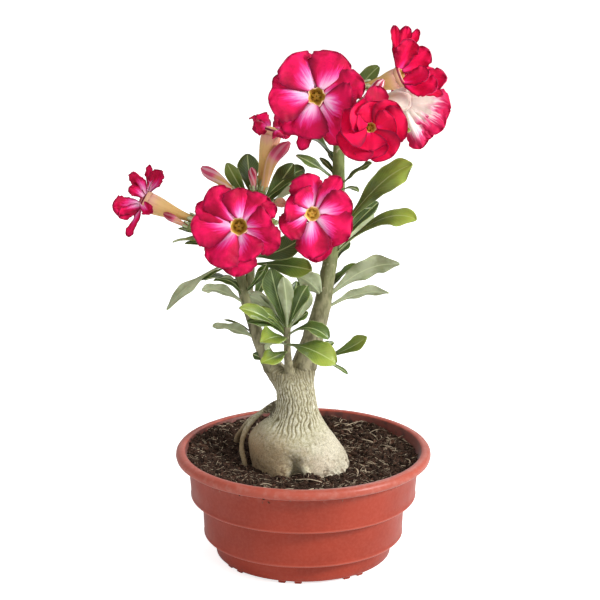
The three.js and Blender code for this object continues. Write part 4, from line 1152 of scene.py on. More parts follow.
# %% Bloom table
# Each bloom: the mouth of its tube, the way it faces, the size of its throat, its stem and the height at
# which its stalk leaves it, and where its tube begins. Then how far the pale bands of its petals reach, how
# strong they are (blush) and how pale the petals are outside. Then how deep the five corners of its throat
# are (star), how far they are turned, and how light the gold in it is. shape is what all its petals differ
# in from PETAL. Petals of the blooms seen from in front are (angle, reach, width, rise of the tip, layer),
# and some have a blush of their own. Petals of the blooms seen from beside are (tip, width, upper side).
BLOOMS = {
    "upper_left": dict(
        mouth=(10, -40, 390), face=(0, -1, 0.22), throat=1, stem="right", leaves=356,
        base=(17, -4, 380), reach=0.74, blush=1.0, outside=0.5,
        star=0.15, star_turn=0.6, gold=0.15,
        shape=dict(widest=0.64),
        petals=[(62, 37, 36, 5, 0), (124, 37, 36, 5, 0), (187, 37, 35, 4, 0), (250, 34, 35, 4, 0),
                (342, 28, 34, 5, 0), (16, 38, 27, 3, 1), (226, 37, 26, -1, 2), (297, 41, 24, -2, 2),
                (95, 30, 16, 0, 2), (160, 36, 20, 0, 2), (328, 34, 28, -1, 2), (254, 43, 13, -3, 3)],
    ),
    "upper_right": dict(
        mouth=(51, -58, 369), face=(0.15, -1, 0.2), throat=0.62, stem="right", leaves=342,
        base=(43, -20, 362), reach=0.35, blush=0.35, outside=0.3,
        star=0.05, star_turn=0, gold=0.8,
        shape=dict(cup=0.2, crease=0.2, ruffle=0.5, swale=0.8, ragged=0.02),
        petals=[(10, 27, 31, 8, 0), (303, 27, 28, 7, 0), (266, 24, 28, 6, 0), (184, 25, 32, 10, 0),
                (140, 22, 28, 12, 0), (42, 26, 28, 10, 0), (80, 32, 21, 0, 1, 0.9), (227, 29, 32, 3, 1),
                (92, 20, 28, 8, 0), (20, 18, 24, 9, -1), (262, 18, 26, 9, -1), (140, 15, 22, 10, -1)],
    ),
    "lower_left": dict(
        mouth=(-50, -50, 290), face=(0, -1, 0.24), throat=1, stem="left", leaves=270,
        base=(-55, -12, 281), reach=0.66, blush=0.95, outside=0.4,
        star=0.06, star_turn=1.4, gold=0.12,
        petals=[(182, 37, 31, 4, 0), (236, 36, 31, 4, 0), (290, 28, 27, 5, 0), (8, 26, 26, 5, 0),
                (88, 30, 27, 3, 0), (126, 37, 27, 0, 1), (154, 37, 20, -2, 2), (46, 32, 27, 0, 1),
                (334, 35, 27, 0, 1), (266, 39, 31, -1, 2), (30, 33, 18, -2, 2)],
    ),
    "lower_right": dict(
        mouth=(7, -37, 297), face=(0.08, -1, 0.2), throat=0.87, stem="right", leaves=244,
        base=(6, -4, 290), reach=0.72, blush=1.0, outside=0.5,
        star=0.08, star_turn=2.6, gold=0.95,
        petals=[(326, 34, 33, 4, 0), (16, 32, 27, 5, 0), (157, 23, 25, 6, 0), (114, 22, 21, 8, 0),
                (267, 35, 28, 3, 0), (99, 32, 30, 0, 1), (53, 36, 18, 3, 1), (206, 28, 25, 2, 1),
                (277, 38, 25, -1, 2)],
    ),
    "far_left": dict(
        mouth=(-128, 5, 299.5), face=(-0.9, 0.15, 0.42), throat=1, stem="left", leaves=268,
        base=(-86, -2, 284), reach=0.75, blush=1.0, outside=0.75,
        star=0.06, star_turn=1, gold=0.4,
        petals=[((-135, -8, 324), 12, (-0.4, -1, 0)), ((-113, 8, 322), 14, (-0.5, -0.9, 0.4)),
                ((-123, 12, 326), 8, (-0.6, -0.8, 0)), ((-151, -8, 296), 17, (-0.3, -0.9, 0.5)),
                ((-141, 0, 270), 7, (-0.6, -0.9, 0)), ((-121, -14, 292), 10, (-0.2, -1, 0.3)),
                ((-132, 30, 296), 12, (-0.9, 0.4, 0.4)), ((-146, -12, 289), 11, (-0.3, -1, 0.3)),
                ((-138, -2, 311), 10, (-0.5, -0.8, 0.3))],
    ),
    "top_right": dict(
        mouth=(78, -2, 400), face=(0.85, -0.2, 0.42), throat=1, stem="right", leaves=360,
        base=(47, 4, 391), reach=0.45, blush=0.5, outside=0.35,
        star=0.06, star_turn=1, gold=0.4,
        petals=[((71, -2, 439), 8, (0.5, -1, 0.3)), ((81, 2, 438), 10, (0.3, -1, 0.3)),
                ((90, 6, 435), 7, (0.4, -1, 0.4)), ((84, -8, 429), 18, (0.6, -1, 0.5)),
                ((76, -4, 424), 10, (0.5, -1, 0.4)), ((99, 4, 418), 18, (0.4, -0.9, 0.4)),
                ((112, -4, 398), 20, (0.3, -0.8, 0.6)), ((104, -14, 392), 23, (0.3, -0.8, 0.7)),
                ((98, -14, 404), 16, (0.5, -0.8, 0.7)), ((110, 4, 384), 10, (0.4, -0.8, 0.7)),
                ((104, 24, 400), 18, (0.9, 0.4, 0.3))],
    ),
    "far_right": dict(
        mouth=(80, 24, 374), face=(0.5, 0.75, -0.35), throat=1, stem="right", leaves=350,
        base=(46, 10, 366), reach=0.75, blush=1.0, outside=1.0,
        star=0.06, star_turn=1, gold=0.4,
        petals=[((117, 16, 370), 30, (0.3, 0.9, -0.2)), ((94, 8, 340), 17, (0.3, 0.9, -0.3)),
                ((112, 12, 356), 22, (0.2, 0.9, -0.3)), ((96, 20, 386), 22, (0.4, 0.9, 0)),
                ((102, 11, 348), 16, (0.2, 0.9, -0.3)),
                ((74, 42, 386), 24, (0.5, 0.7, -0.2)), ((100, 42, 390), 24, (0.6, 0.7, 0)),
                ((80, 46, 350), 24, (0.5, 0.7, -0.5))],
    ),
    "upright": dict(
        mouth=(-24, 5, 357), face=(0.25, 0.08, 0.95), throat=1, stem="leftInner", leaves=296,
        base=(-35, 7, 311), reach=0.5, blush=0.75, outside=0.5,
        star=0.06, star_turn=1, gold=0.4,
        petals=[((-39, -6, 361), 18, (0.2, -0.7, 0.6)), ((-38, 24, 364), 18, (0.3, -0.6, 0.7)),
                ((-10, 28, 364), 20, (0, -0.3, 1)), ((0, 6, 358), 19, (0.1, 0, 1)),
                ((-15, -13, 353), 16, (0, -0.2, 1))],
    ),
}
print("blooms:", len(BLOOMS), "with petals:", sum(len(bloom["petals"]) for bloom in BLOOMS.values()))

# %% Bud table
# Each bud: its line from base to tip, its greatest radius, its stem and the height at which its stalk
# leaves it, how red it is at its base and at its tip, and how striped it is.
BUDS = {
    "left": dict(line=[(-55, 2, 306), (-67, 2, 316), (-81, 2, 326)], radius=4.6, stem="leftInner",
                 leaves=290, red=(0.0, 0.75), stripe=0.5),
    "opening": dict(line=[(-32, -4, 308), (-24, -4, 334), (-11, -8, 348)], radius=5, stem="leftInner",
                    leaves=292, red=(0.0, 0.85), stripe=0.2),
    "small": dict(line=[(-39, -3, 309), (-40, -4, 318), (-41, -4, 327)], radius=3.2, stem="leftInner",
                  leaves=297, red=(0.5, 0.95), stripe=0.5),
    "low": dict(line=[(-92, -8, 280), (-101, -8, 285), (-111, -8, 291)], radius=3, stem="left", leaves=264,
                red=(0.25, 1.0), stripe=0.2),
    "centre": dict(line=[(-22, -10, 300), (-19, -18, 302), (-16, -26, 303)], radius=3.8, stem="leftInner",
                   leaves=284, red=(0.1, 0.25), stripe=0.1),
    "striped": dict(line=[(45, -12, 380), (53, -15, 389), (62, -18, 399)], radius=4, stem="right",
                    leaves=352, red=(0.6, 0.9), stripe=1.0),
}
print("buds in the table:", len(BUDS))

# %% Lines and skins of the stems
COLLAR_DEPTH = 5.0  # how far behind the mouth of a bloom its tube ends, where the funnel takes over
SCAR_GAP = 6.5  # distance from one leaf scar to the next along a stem
GOLDEN_TURN = 2.4  # each leaf scar is turned this far round the stem from the last one, in radians


def tube_line(bloom):
    """The bent line of a bloom's tube, which meets the mouth straight from behind."""
    axis = unit(bloom["face"])
    start = np.array(bloom["base"], float)
    end = np.array(bloom["mouth"], float) - axis * (COLLAR_DEPTH + 0.3)
    before = end - axis * 10
    return bezier_line(start, (start + before) / 2, before, end)


def stem_skin(names):
    """The stems of one branch, with swellings at their leaf scars and rounded tops."""
    skin = Skin()
    for name in names:
        points, radii = STEMS[name]
        line = stem_lines[name]
        start = line.share_at_height(BARK_TOP - 1.0) if name != "leftInner" else 0.0
        body = np.linspace(start, 0.985, 90)
        shares = np.concatenate([body, [0.993, 0.998, 1.0]])
        widths = width_along(radii, shares)
        widths[-3:] *= [0.9, 0.66, 0.3]
        offset = len(name)

        def scars(angle, share, offset=offset, length=line.length):
            place = share * length / SCAR_GAP
            knots = sum(
                np.exp(-((np.angle(np.exp(1j * (angle - GOLDEN_TURN * k - offset))) / 0.55) ** 2))
                * math.exp(-(((place - k) / 0.32) ** 2))
                for k in range(int(place) - 1, int(place) + 3)
            )
            return 1 + 0.11 * knots + 0.03 * np.sin(3 * angle + 9 * share) * math.sin(23 * share)

        sweep(skin, line, shares, widths, 28, scars)
    return skin


# %% Stalks and sepals


def stalk(skin, piece, towards):
    """The stalk of a bloom or bud, which ends in a small cup."""
    line = stem_lines[piece["stem"]]
    root = line.at(line.share_at_height(piece["leaves"]))
    end = np.array(piece["base"], float)
    onward = unit(np.asarray(towards) - end)
    path = smooth_line([root, end - onward * 6, end + onward * 0.2])
    shares = np.linspace(0, 1, 26)
    widths = np.interp(shares, [0, 0.5, 0.84, 1], [2, 1.7, 2.6, 3.1])
    sweep(skin, path, shares, widths, 16, lambda angle, share: 1 + 0.05 * np.cos(5 * angle))
    return onward


def calyx(skin, base, onward, size, seed):
    """Five small pointed sepals that hold the foot of a tube or bud."""
    side, up, axis = square_to(onward)
    for k in range(5):
        turn = 2 * math.pi * k / 5 + seed
        out = side * math.cos(turn) + up * math.sin(turn)
        root = np.asarray(base) + out * 2.2 * size - axis * 1.2
        tip = np.asarray(base) + out * 4.3 * size + axis * (6.5 * size)
        blade(skin, LEAF, root, tip, 3.6 * size, -out, seed=seed + k, arch=-0.12, fold=0.3, wave=0.2,
              ruffle=0.1, crease=0.0, swell=0.6, rows=12, columns=6)


# %% Branches
BRANCHES = {"left_stem": ["left", "leftInner"], "right_stem": ["right"], "middle_shoot": ["middle"]}
for branch, names in BRANCHES.items():
    skin = stem_skin(names)
    calyces = Skin()
    for seed, bloom in enumerate(BLOOMS.values()):
        if bloom["stem"] in names:
            onward = stalk(skin, bloom, tube_line(bloom).at(0.1))
            calyx(calyces, bloom["base"], onward, 1.0, 0.37 * seed)
    for seed, bud in enumerate(BUDS.values()):
        if bud["stem"] in names:
            onward = stalk(skin, {**bud, "base": bud["line"][0]}, bud["line"][1])
            calyx(calyces, bud["line"][0], onward, 0.7, 0.41 * seed)
    wood = skin.piece(branch + "_wood", stem_finish)
    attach(wood, "root")
    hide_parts(branch)
    if calyces.count:
        sepals = calyces.piece(branch + "_sepals", leaf_finish)
        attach(sepals, "root")
    print(branch, "wood faces:", len(wood.data.polygons))

# %% [markdown]
# ## The leaves one by one
# Every leaf that the photograph shows has its own row: the height on its stem that it leaves from, its
# tip, its width, where its upper side looks, and what its shape or shade has of its own. The leaves of the
# far side follow the golden angle, as such leaves do round their stem.

# %% Leaf table
LEAVES = {
    "left": [
        (250, (-109, -22, 215), 13, (0.4, 0.5, -0.8),
         dict(via=(-85, -12, 237), widest=0.68, swell=3.2, fold=-0.1)),
        (250, (-86, -10, 236), 6, (-0.4, -0.6, 0.8), dict(via=(-72, -8, 242), wave=0.4, tone=0.2)),
        (212, (-81, -14, 229), 12, (0.2, 0.9, 0.4), dict(via=(-65, -8, 227), widest=0.6)),
        (214, (-72, -10, 236), 9, (-0.2, -0.6, 0.9),
         dict(via=(-57, -6, 233), wave=0.8, widest=0.6, tone=0.05)),
        (184, (-73, -14, 199), 12, (0.2, 0.8, 0.5), dict(via=(-56, -8, 195), widest=0.42, swell=2.4)),
        (184, (-64, -8, 203), 3, (0.2, 0.8, 0.5), dict(wave=0.2)),
        (222, (-29, -10, 250), 9, (0.3, -0.8, 0.3), dict(tone=0.2)),
        (224, (-31, -12, 246), 7, (0.4, -0.8, 0.3), dict(tone=0.1)),
        (266, (-100, -2, 277), 6, (0, -0.5, 0.9), dict(arch=0.04, wave=0.3, tone=0.2)),
        (262, (-94, -16, 268), 6, (0, -0.5, 0.9), dict(arch=0.06, wave=0.3, tone=0.1)),
        (166, (-41, -4, 173), 7, (-0.3, -1, 0.4), dict(arch=0.12, wave=0.3, tone=0)),
    ],
    "leftInner": [
        (290, (-61, 10, 328), 12, (-0.2, -1, 0.3), dict(arch=0.08, tone=0.5, widest=0.76)),
        (294, (-45, 22, 333), 18, (-0.1, -1, 0.3), dict(arch=0.08, tone=0.15)),
        (282, (-8, 18, 326), 16, (0.2, -1, 0.4), dict(arch=0.06, tone=0.1)),
        (288, (1, 24, 320), 15, (0.1, -0.6, 0.8), dict(arch=0.16, tone=0.05)),
        (278, (16, -8, 314), 14, (-0.2, 0.7, 0.7), dict(arch=0.14)),
        (252, (-1, -24, 275), 21, (0, -0.8, 0.6), dict(via=(-20, -14, 261), widest=0.7, tone=0.15)),
        (246, (7, -27, 249), 20, (0, -0.75, 0.7),
         dict(via=(-15, -14, 250), wave=1, widest=0.72, fold=-0.12, tone=0.5)),
    ],
    "right": [
        (262, (86, -10, 331), 23, (-0.35, -0.8, 0.45),
         dict(via=(57, -4, 310), wave=2, swell=2.1, widest=0.72, fold=-0.12, ruffle=1.2, tone=0.75)),
        (250, (89, -24, 289), 19, (-0.3, -0.6, 0.8),
         dict(via=(60, -10, 286), wave=1.4, swell=2.8, widest=0.74, fold=-0.2, tone=0.95)),
        (250, (56, 24, 288), 17, (0.3, 0.8, 0.4), dict(via=(42, 20, 271), widest=0.7)),
        (256, (61, 28, 292), 11, (-0.4, -0.8, 0.4), dict(arch=0.04, tone=0.05)),
        (214, (77, -8, 249), 18, (0.2, 0.9, 0.3), dict(via=(47, 0, 241), wave=2.2, widest=0.6, ripples=3)),
        (206, (69, -4, 224), 12, (0.1, 0.8, 0.5), dict(via=(43, 0, 222), wave=1.2, widest=0.62, ripples=3)),
        (238, (38, 22, 260), 8, (-0.4, -0.7, 0.5), dict(tone=0)),
        (308, (54, -10, 332), 7, (-0.4, -0.5, 0.8), dict(arch=0.06, tone=0.3)),
        (304, (44, -6, 308), 6, (0, -0.4, 1), dict(arch=0.2, wave=0.3, tone=0.2)),
        (312, (-6, 0, 336), 10, (0.3, -0.7, 0.8), dict(arch=0.06, tone=0.3)),
        (312, (13, 16, 331), 6, (0.5, -0.8, 0.4), dict(wave=0.3, tone=0.1)),
        (318, (20, 22, 336), 6, (0.3, -0.8, 0.3), dict(wave=0.3, tone=0.1)),
        (328, (44, 22, 352), 8, (-0.4, -0.7, 0.6), dict(tone=0.3)),
        (356, (60, 24, 403), 14, (-0.4, -0.9, 0.5), dict(arch=0.16, tone=0.4)),
        (336, (84, -10, 358), 12, (-0.2, -0.6, 1), dict(arch=0.04, swell=2.4, tone=0.8)),
        (162, (51, -12, 190), 13, (-0.4, -0.8, 0.5),
         dict(via=(33, -4, 176), wave=0.4, swell=2.8, widest=0.78, tone=0.6)),
        (164, (36, -8, 157), 6, (0.3, -0.3, 0.9), dict(arch=0.14, wave=0.3, widest=0.84, tone=0.2)),
        (167, (25, 12, 178), 7, (-0.3, -0.8, 0.5), dict(wave=0.3, tone=0.1)),
        (216, (-6, -5, 239), 20, (0, 0.9, 0.3), dict(via=(7, -3, 231), wave=1.6, widest=0.62)),
    ],
    "middle": [
        (184, (26, -44, 177), 25, (0.1, -0.6, 0.8),
         dict(via=(5, -38, 187), wave=1.6, widest=0.76, tone=0.75)),
        (192, (20, -36, 195), 17, (0.2, -0.5, 0.9), dict(via=(4, -31, 203), widest=0.74, tone=0.3)),
        (196, (-16, -28, 244), 13, (0.1, 1, 0.2), dict(via=(-13.5, -26, 222), wave=1, widest=0.74)),
        (195, (-26, -24, 250), 20, (0.1, -1, 0.2),
         dict(via=(-21, -22, 227), wave=1.2, widest=0.74, tone=0.3)),
        (196, (3, -31, 238), 14, (-0.2, -1, 0.3),
         dict(via=(-4, -26, 223), curl=0.35, widest=0.74, tone=0.2)),
        (196, (4, -24, 231), 11, (0.1, 1, 0.2), dict(via=(-1, -22, 216), widest=0.7)),
        (197, (-5, -4, 234), 10, (0, -1, 0.3), dict(tone=0)),
        (196, (4, -18, 212), 9, (-0.2, -0.6, 0.8), dict(arch=0.06, widest=0.7, tone=0.3)),
        (194, (-43, -18, 226), 14, (0.1, 0.9, 0.3), dict(via=(-28, -16, 215))),
        (192, (-51, -30, 219), 13, (0.1, -0.7, 0.7), dict(via=(-31, -25, 210), tone=0.6)),
        (198, (-44, -14, 229), 14, (0.2, 0.6, 0.6), dict(arch=-0.04, widest=0.7)),
        (192, (-38, -22, 215), 9, (0.1, -0.7, 0.7), dict(via=(-25, -20, 209), tone=0.8)),
        (190, (-45, -26, 206), 10, (0.2, -0.6, 0.7), dict(via=(-28, -22, 204), widest=0.7, tone=0.2)),
        (188, (-34, -46, 195), 21, (-0.1, -0.6, 0.8), dict(via=(-22, -36, 197), widest=0.62, tone=0.7)),
        (184, (-30, -36, 186), 14, (-0.1, 0.6, 0.8), dict(via=(-22, -30, 190), widest=0.7)),
        (178, (-34, -42, 177), 17, (-0.1, -0.6, 0.8), dict(via=(-22, -34, 180), widest=0.64, tone=0.95)),
        (196, (-29, -10, 218), 8, (0.1, -0.8, 0.5), dict(tone=0.1)),
    ],
}
print("leaves in the table:", sum(len(rows) for rows in LEAVES.values()))

# %% Leaves of the far side
GOLDEN_ANGLE = 137.5  # degrees
FAR_SIDE = 150  # how many degrees of the stem's far side the leaves are kept to


def far_leaves(name, low, high, count, first_angle):
    """Leaves of the far side, from one height on the stem to another."""
    line = stem_lines[name]
    made = []
    for k in range(count):
        level = low + (high - low) * k / max(1, count - 1)
        angle = math.radians(first_angle + (GOLDEN_ANGLE * k) % FAR_SIDE)
        reach = 42 + 9 * math.sin(3.7 * k + first_angle)
        out = np.array([math.cos(angle), math.sin(angle), 0])
        tip = line.at(line.share_at_height(level)) + out * reach + [0, 0, 14 + 10 * math.cos(2.3 * k)]
        made.append((level, tip, 14 + 3 * math.sin(5.1 * k), (-0.3 * out[0], -0.3 * out[1], 1), {}))
    return made


LEAVES["left"] += far_leaves("left", 205, 256, 3, 70)
LEAVES["leftInner"] += far_leaves("leftInner", 250, 284, 2, 60)
LEAVES["right"] += far_leaves("right", 216, 326, 4, 30)
print("leaves with those of the far side:", sum(len(rows) for rows in LEAVES.values()))

# %% Leaves
GOLDEN_SHARE = 0.618  # step between the seeds of blades that lie side by side, so that no two are alike

for branch, names in BRANCHES.items():
    skin = Skin()
    for name in names:
        line = stem_lines[name]
        for k, (level, tip, width, face, shape) in enumerate(LEAVES[name]):
            root = line.at(line.share_at_height(level))
            blade(skin, LEAF, root, tip, width, face, seed=GOLDEN_SHARE * (k + 1) + len(name), **shape)
    leaves = skin.piece(branch + "_leaves", leaf_finish)
    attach(leaves, "root")
    print(branch, "leaf faces:", len(leaves.data.polygons))

# %% [markdown]
# ## Petal, throat and tube finishes
# A petal is crimson at its edge. A pale band runs out from the throat along its middle and breaks up into
# fine streaks, because the colour sits in the veins. The throat is golden inside with a cream rim, and the
# tube outside is the colour of straw.

# %% Petal finish
tree, place, wear = finish("petal", roughness=0.6, specular=0.16, subsurface=0.08, scatter=0.0015)
along, across = marked(tree, "along"), marked(tree, "across")
upper, tone = marked(tree, "upper"), marked(tree, "tone")
reach, blush, outside = marked(tree, "reach"), marked(tree, "blush"), marked(tree, "outside")
fan = node(tree, "ShaderNodeCombineXYZ",
           {"X": maths(tree, "MULTIPLY", across, 5.0), "Y": along, "Z": maths(tree, "MULTIPLY", tone, 9.0)})
streaks = grainy(tree, fan.outputs[0], 2.2, detail=4.0, roughness=0.6)
lean = maths(tree, "MULTIPLY", maths(tree, "SUBTRACT", tone, 1.4), 0.3)
off_middle = maths(tree, "POWER", maths(tree, "ABSOLUTE", maths(tree, "ADD", across, lean)), 1.5)
uneven = maths(tree, "MULTIPLY", maths(tree, "SUBTRACT", streaks, 0.5), 0.62)
left_over = maths(tree, "SUBTRACT", maths(tree, "ADD", reach, uneven), along)
narrowed = maths(tree, "MULTIPLY", off_middle, 0.5)
band = ramped(tree, maths(tree, "SUBTRACT", left_over, narrowed), -0.14, 0.62)
banded = maths(tree, "MULTIPLY", band, blush)
crimson = grouped(tree, mottle, {"Vector": place, "Scale": 70.0, "Base": colour("ee0c5a"),
                                 "Patch": colour("a60430"), "Amount": 0.85})
crimson = mixed(tree, ramped(tree, blush, 0.7, 0.35, 0.0, 0.75), crimson, colour("f20c48"))
glow = stepped(tree, banded, (0.0, "e80a48"), (0.2, "ec1c70"), (0.48, "f0469a"), (0.75, "f786c2"),
               (1.0, "fac4e0"))
painted = mixed(tree, ramped(tree, banded, 0.0, 0.25), crimson, glow)
# Painted shade along the edge that each petal raises over its neighbour, which turns away from the light.
turned_edge_shade = maths(tree, "MULTIPLY", ramped(tree, across, -0.05, -0.85),
                    ramped(tree, along, 1.0, 0.5, 0.25, 1.0))
painted = mixed(tree, maths(tree, "MULTIPLY", turned_edge_shade, 0.5), painted, colour("a00330"))
# Painted shade along the sides of each petal near its foot, where the petals overlap.
beside = ramped(tree, maths(tree, "ABSOLUTE", across), 0.55, 0.95)
overlap_shade = maths(tree, "MULTIPLY", beside, ramped(tree, along, 0.95, 0.2))
painted = mixed(tree, maths(tree, "MULTIPLY", overlap_shade, 0.8), painted, colour("6d0428"))
rim = ramped(tree, maths(tree, "ADD", maths(tree, "POWER", maths(tree, "ABSOLUTE", across), 5.0),
                         maths(tree, "POWER", along, 9.0)), 0.3, 0.95)
rimmed = mixed(tree, maths(tree, "MULTIPLY", rim, 0.8), painted, colour("8c0a38"))
out_reach = maths(tree, "SUBTRACT", maths(tree, "ADD", 0.95, uneven), along)
out_narrowed = maths(tree, "MULTIPLY", off_middle, 0.3)
out_band = ramped(tree, maths(tree, "SUBTRACT", out_reach, out_narrowed), 0.0, 0.5)
pale = maths(tree, "MULTIPLY", out_band, outside)
behind = stepped(tree, pale, (0.0, "cc1650"), (0.3, "e04f82"), (0.6, "f6b4c8"), (1.0, "fdf2e6"))
two_sided = mixed(tree, ramped(tree, upper, 0.35, 0.65), behind, rimmed)
vein_height = maths(tree, "ADD", streaks, maths(tree, "MULTIPLY", grainy(tree, place, 900.0), 0.5))
petal_finish = wear(two_sided, vein_height, strength=0.3, distance=0.0006)
print("nodes in the petal:", len(tree.nodes))

# %% Throat finish
tree, place, wear = finish("flower throat", roughness=0.5, specular=0.3, subsurface=0.1)
depth = marked(tree, "depth")
# Both golds are darker towards the bottom of the funnel, which paints shade into its depth.
deep_gold = stepped(tree, depth, (0.0, "7a5208"), (0.45, "94690c"), (0.62, "a8801a"), (0.74, "cda648"),
                    (0.82, "f4dcae"), (0.9, "f2b9a8"), (1.0, "6d0526"))
light_gold = stepped(tree, depth, (0.0, "cfa03a"), (0.45, "d9b04c"), (0.62, "e6c766"), (0.74, "f0d98c"),
                     (0.82, "f6e2b4"), (0.9, "f2b9a8"), (1.0, "6d0526"))
gold = mixed(tree, marked(tree, "gold"), deep_gold, light_gold)
threads = maths(tree, "MULTIPLY", ramped(tree, marked(tree, "star"), 0.55, 0.95),
                ramped(tree, depth, 0.35, 0.7))
lined = mixed(tree, maths(tree, "MULTIPLY", threads, 0.25), gold, colour("b0304a"))
outer = mixed(tree, marked(tree, "pale"), colour("dfb08e"), colour("f4e2d6"))
lined = mixed(tree, ramped(tree, depth, 1.2, 1.8), lined, outer)
throat_finish = wear(lined, grainy(tree, place, 900.0), strength=0.3, distance=0.0004)
print("nodes in the throat:", len(tree.nodes))

# %% Tube finish
tree, place, wear = finish("flower tube", roughness=0.55, specular=0.3, subsurface=0.08)
along = marked(tree, "along")
straw = stepped(tree, along, (0.0, "9ba058"), (0.14, "c6a45e"), (0.45, "e0b870"), (0.8, "e6be80"),
                (1.0, "ecc8a0"))
uv = node(tree, "ShaderNodeUVMap", uv_map="grain").outputs[0]
grain = grainy(tree, stretched(tree, uv, (14, 60, 1)), 1.6, detail=4.0)
darkened = mixed(tree, ramped(tree, grain, 0.45, 0.75, 0.0, 0.3), straw, colour("bd9458"))
near_mouth = maths(tree, "ADD", along, maths(tree, "MULTIPLY", grain, 0.3))
flushed = mixed(tree, ramped(tree, near_mouth, 0.9, 1.2, 0.0, 0.6), darkened, colour("e08a92"))
white = maths(tree, "MULTIPLY", ramped(tree, along, 0.2, 0.6), marked(tree, "pale"))
whitened = mixed(tree, white, flushed, colour("f6e8da"))
tube_finish = wear(whitened, grain, strength=0.35, distance=0.0005)
print("nodes in the tube:", len(tree.nodes))

# %% Bud finish
tree, place, wear = finish("bud skin", roughness=0.5, specular=0.3, subsurface=0.08)
red = marked(tree, "red")
uv = node(tree, "ShaderNodeUVMap", uv_map="grain").outputs[0]
around = node(tree, "ShaderNodeSeparateXYZ", {0: uv}).outputs["X"]
twist = maths(tree, "MULTIPLY", marked(tree, "along"), 1.3)
spiral = maths(tree, "ADD", maths(tree, "MULTIPLY", around, 5.0), twist)
wave = maths(tree, "ABSOLUTE", maths(tree, "SUBTRACT", maths(tree, "FRACT", spiral), 0.5))
stripes = maths(tree, "MULTIPLY", ramped(tree, wave, 0.3, 0.12), marked(tree, "stripe"))
ripe = stepped(tree, red, (0.0, "d0a568"), (0.35, "d99a80"), (0.65, "d8567a"), (1.0, "a01536"))
striped = mixed(tree, stripes, ripe, colour("f3cfd6"))
bud_finish = wear(striped, grainy(tree, place, 800.0), strength=0.3, distance=0.0004)
print("finishes:", len(bpy.data.materials))

# %% [markdown]
# ## Blooms
# A bloom is a long tube that opens into a funnel, and petals that spread from the funnel's rim. Five
# slim anthers meet in a cone deep in the throat. The petals of a double bloom lie in layers, each a little
# lower than the one before.

# %% Petals of a bloom
PETAL_START = 6.7  # distance from the middle of the throat to the foot of each petal
PINWHEEL = 0.3  # how far each petal tips sideways, so that one edge lies over its neighbour
LAYER_GAP = 1.2  # how much lower each layer of petals starts than the one before
SEED_STEP = 1.7  # between one bloom and the next


def bloom_frame(bloom):
    """Turns the bloom's own frame, whose +Z is the way it faces, into the plant's."""
    side, up, axis = square_to(bloom["face"])
    made = np.eye(4)
    made[:3] = np.column_stack([side, up, axis, bloom["mouth"]])
    return made


def front_petal(skin, bloom, petal, common):
    """A petal of a bloom seen from in front, given by its angle and reach in the bloom's own frame."""
    angle, reach, width, rise, layer, *own_blush = petal
    turn = math.radians(angle)
    out = np.array([math.cos(turn), math.sin(turn), 0])
    face = np.array([PINWHEEL * math.sin(turn), -PINWHEEL * math.cos(turn), 1])
    root = out * (PETAL_START * bloom["throat"]) + [0, 0, 0.3 - LAYER_GAP * layer]
    if own_blush:
        common = {**common, "marks": {**common["marks"], "blush": own_blush[0]}}
    blade(skin, PETAL, root, out * reach + [0, 0, rise], width, face, **common, **bloom.get("shape", {}))


def side_petal(skin, bloom, petal, common):
    """A petal of a bloom seen from beside, given by its tip in the plant's frame."""
    tip, width, face = petal
    back_to = np.linalg.inv(common["transform"])
    tip = back_to[:3, :3] @ np.array(tip, float) + back_to[:3, 3]
    root = unit([tip[0], tip[1], 0]) * (PETAL_START * bloom["throat"]) + [0, 0, -0.6]
    blade(skin, PETAL, root, tip, width, back_to[:3, :3] @ np.array(face, float), **common,
          arch=-0.07, fold=0.1, cup=0.1, wave=1.2, ripples=1.5, ruffle=1.2, ragged=0.05, widest=0.8,
          stalk=0.35)


def petals_of(bloom, seed):
    """All petals of a bloom as one skin."""
    skin = Skin()
    turn_to = bloom_frame(bloom)
    marks = {name: bloom[name] for name in ("reach", "blush", "outside")}
    for k, petal in enumerate(bloom["petals"]):
        common = {"seed": seed + GOLDEN_SHARE * k, "transform": turn_to, "marks": marks}
        add_petal = front_petal if np.ndim(petal[0]) == 0 else side_petal
        add_petal(skin, bloom, petal, common)
    return skin


# %% Throat of a bloom
# The cup of the throat as (radius, height, depth mark), from the middle of its outside to its inside.
CUP = [
    (0, -15, 2), (4.6, -14, 2), (5.5, -9, 2), (6.9, -5.6, 2), (7.9, -5, 2), (8.5, -3.6, 2), (8.6, -2.4, 2),
    (8.4, -1.4, 1), (7.9, -0.8, 1), (7.5, -0.2, 0.95), (7.1, 0.15, 0.88), (6.7, 0.1, 0.84),
    (6.3, -0.5, 0.75), (5.8, -1.6, 0.66), (5.1, -3.2, 0.56), (4, -4.6, 0.44), (2, -5.3, 0.32),
    (0, -5.3, 0.3),
]
THROAT_SIDES = 60
WHITE_TUBE = 0.9  # the tube and funnel are white on a bloom whose petals are paler outside than this


def paleness(bloom):
    """1 for a bloom with a white tube, and 0 for one with a tube of straw yellow."""
    return float(bloom["outside"] > WHITE_TUBE)


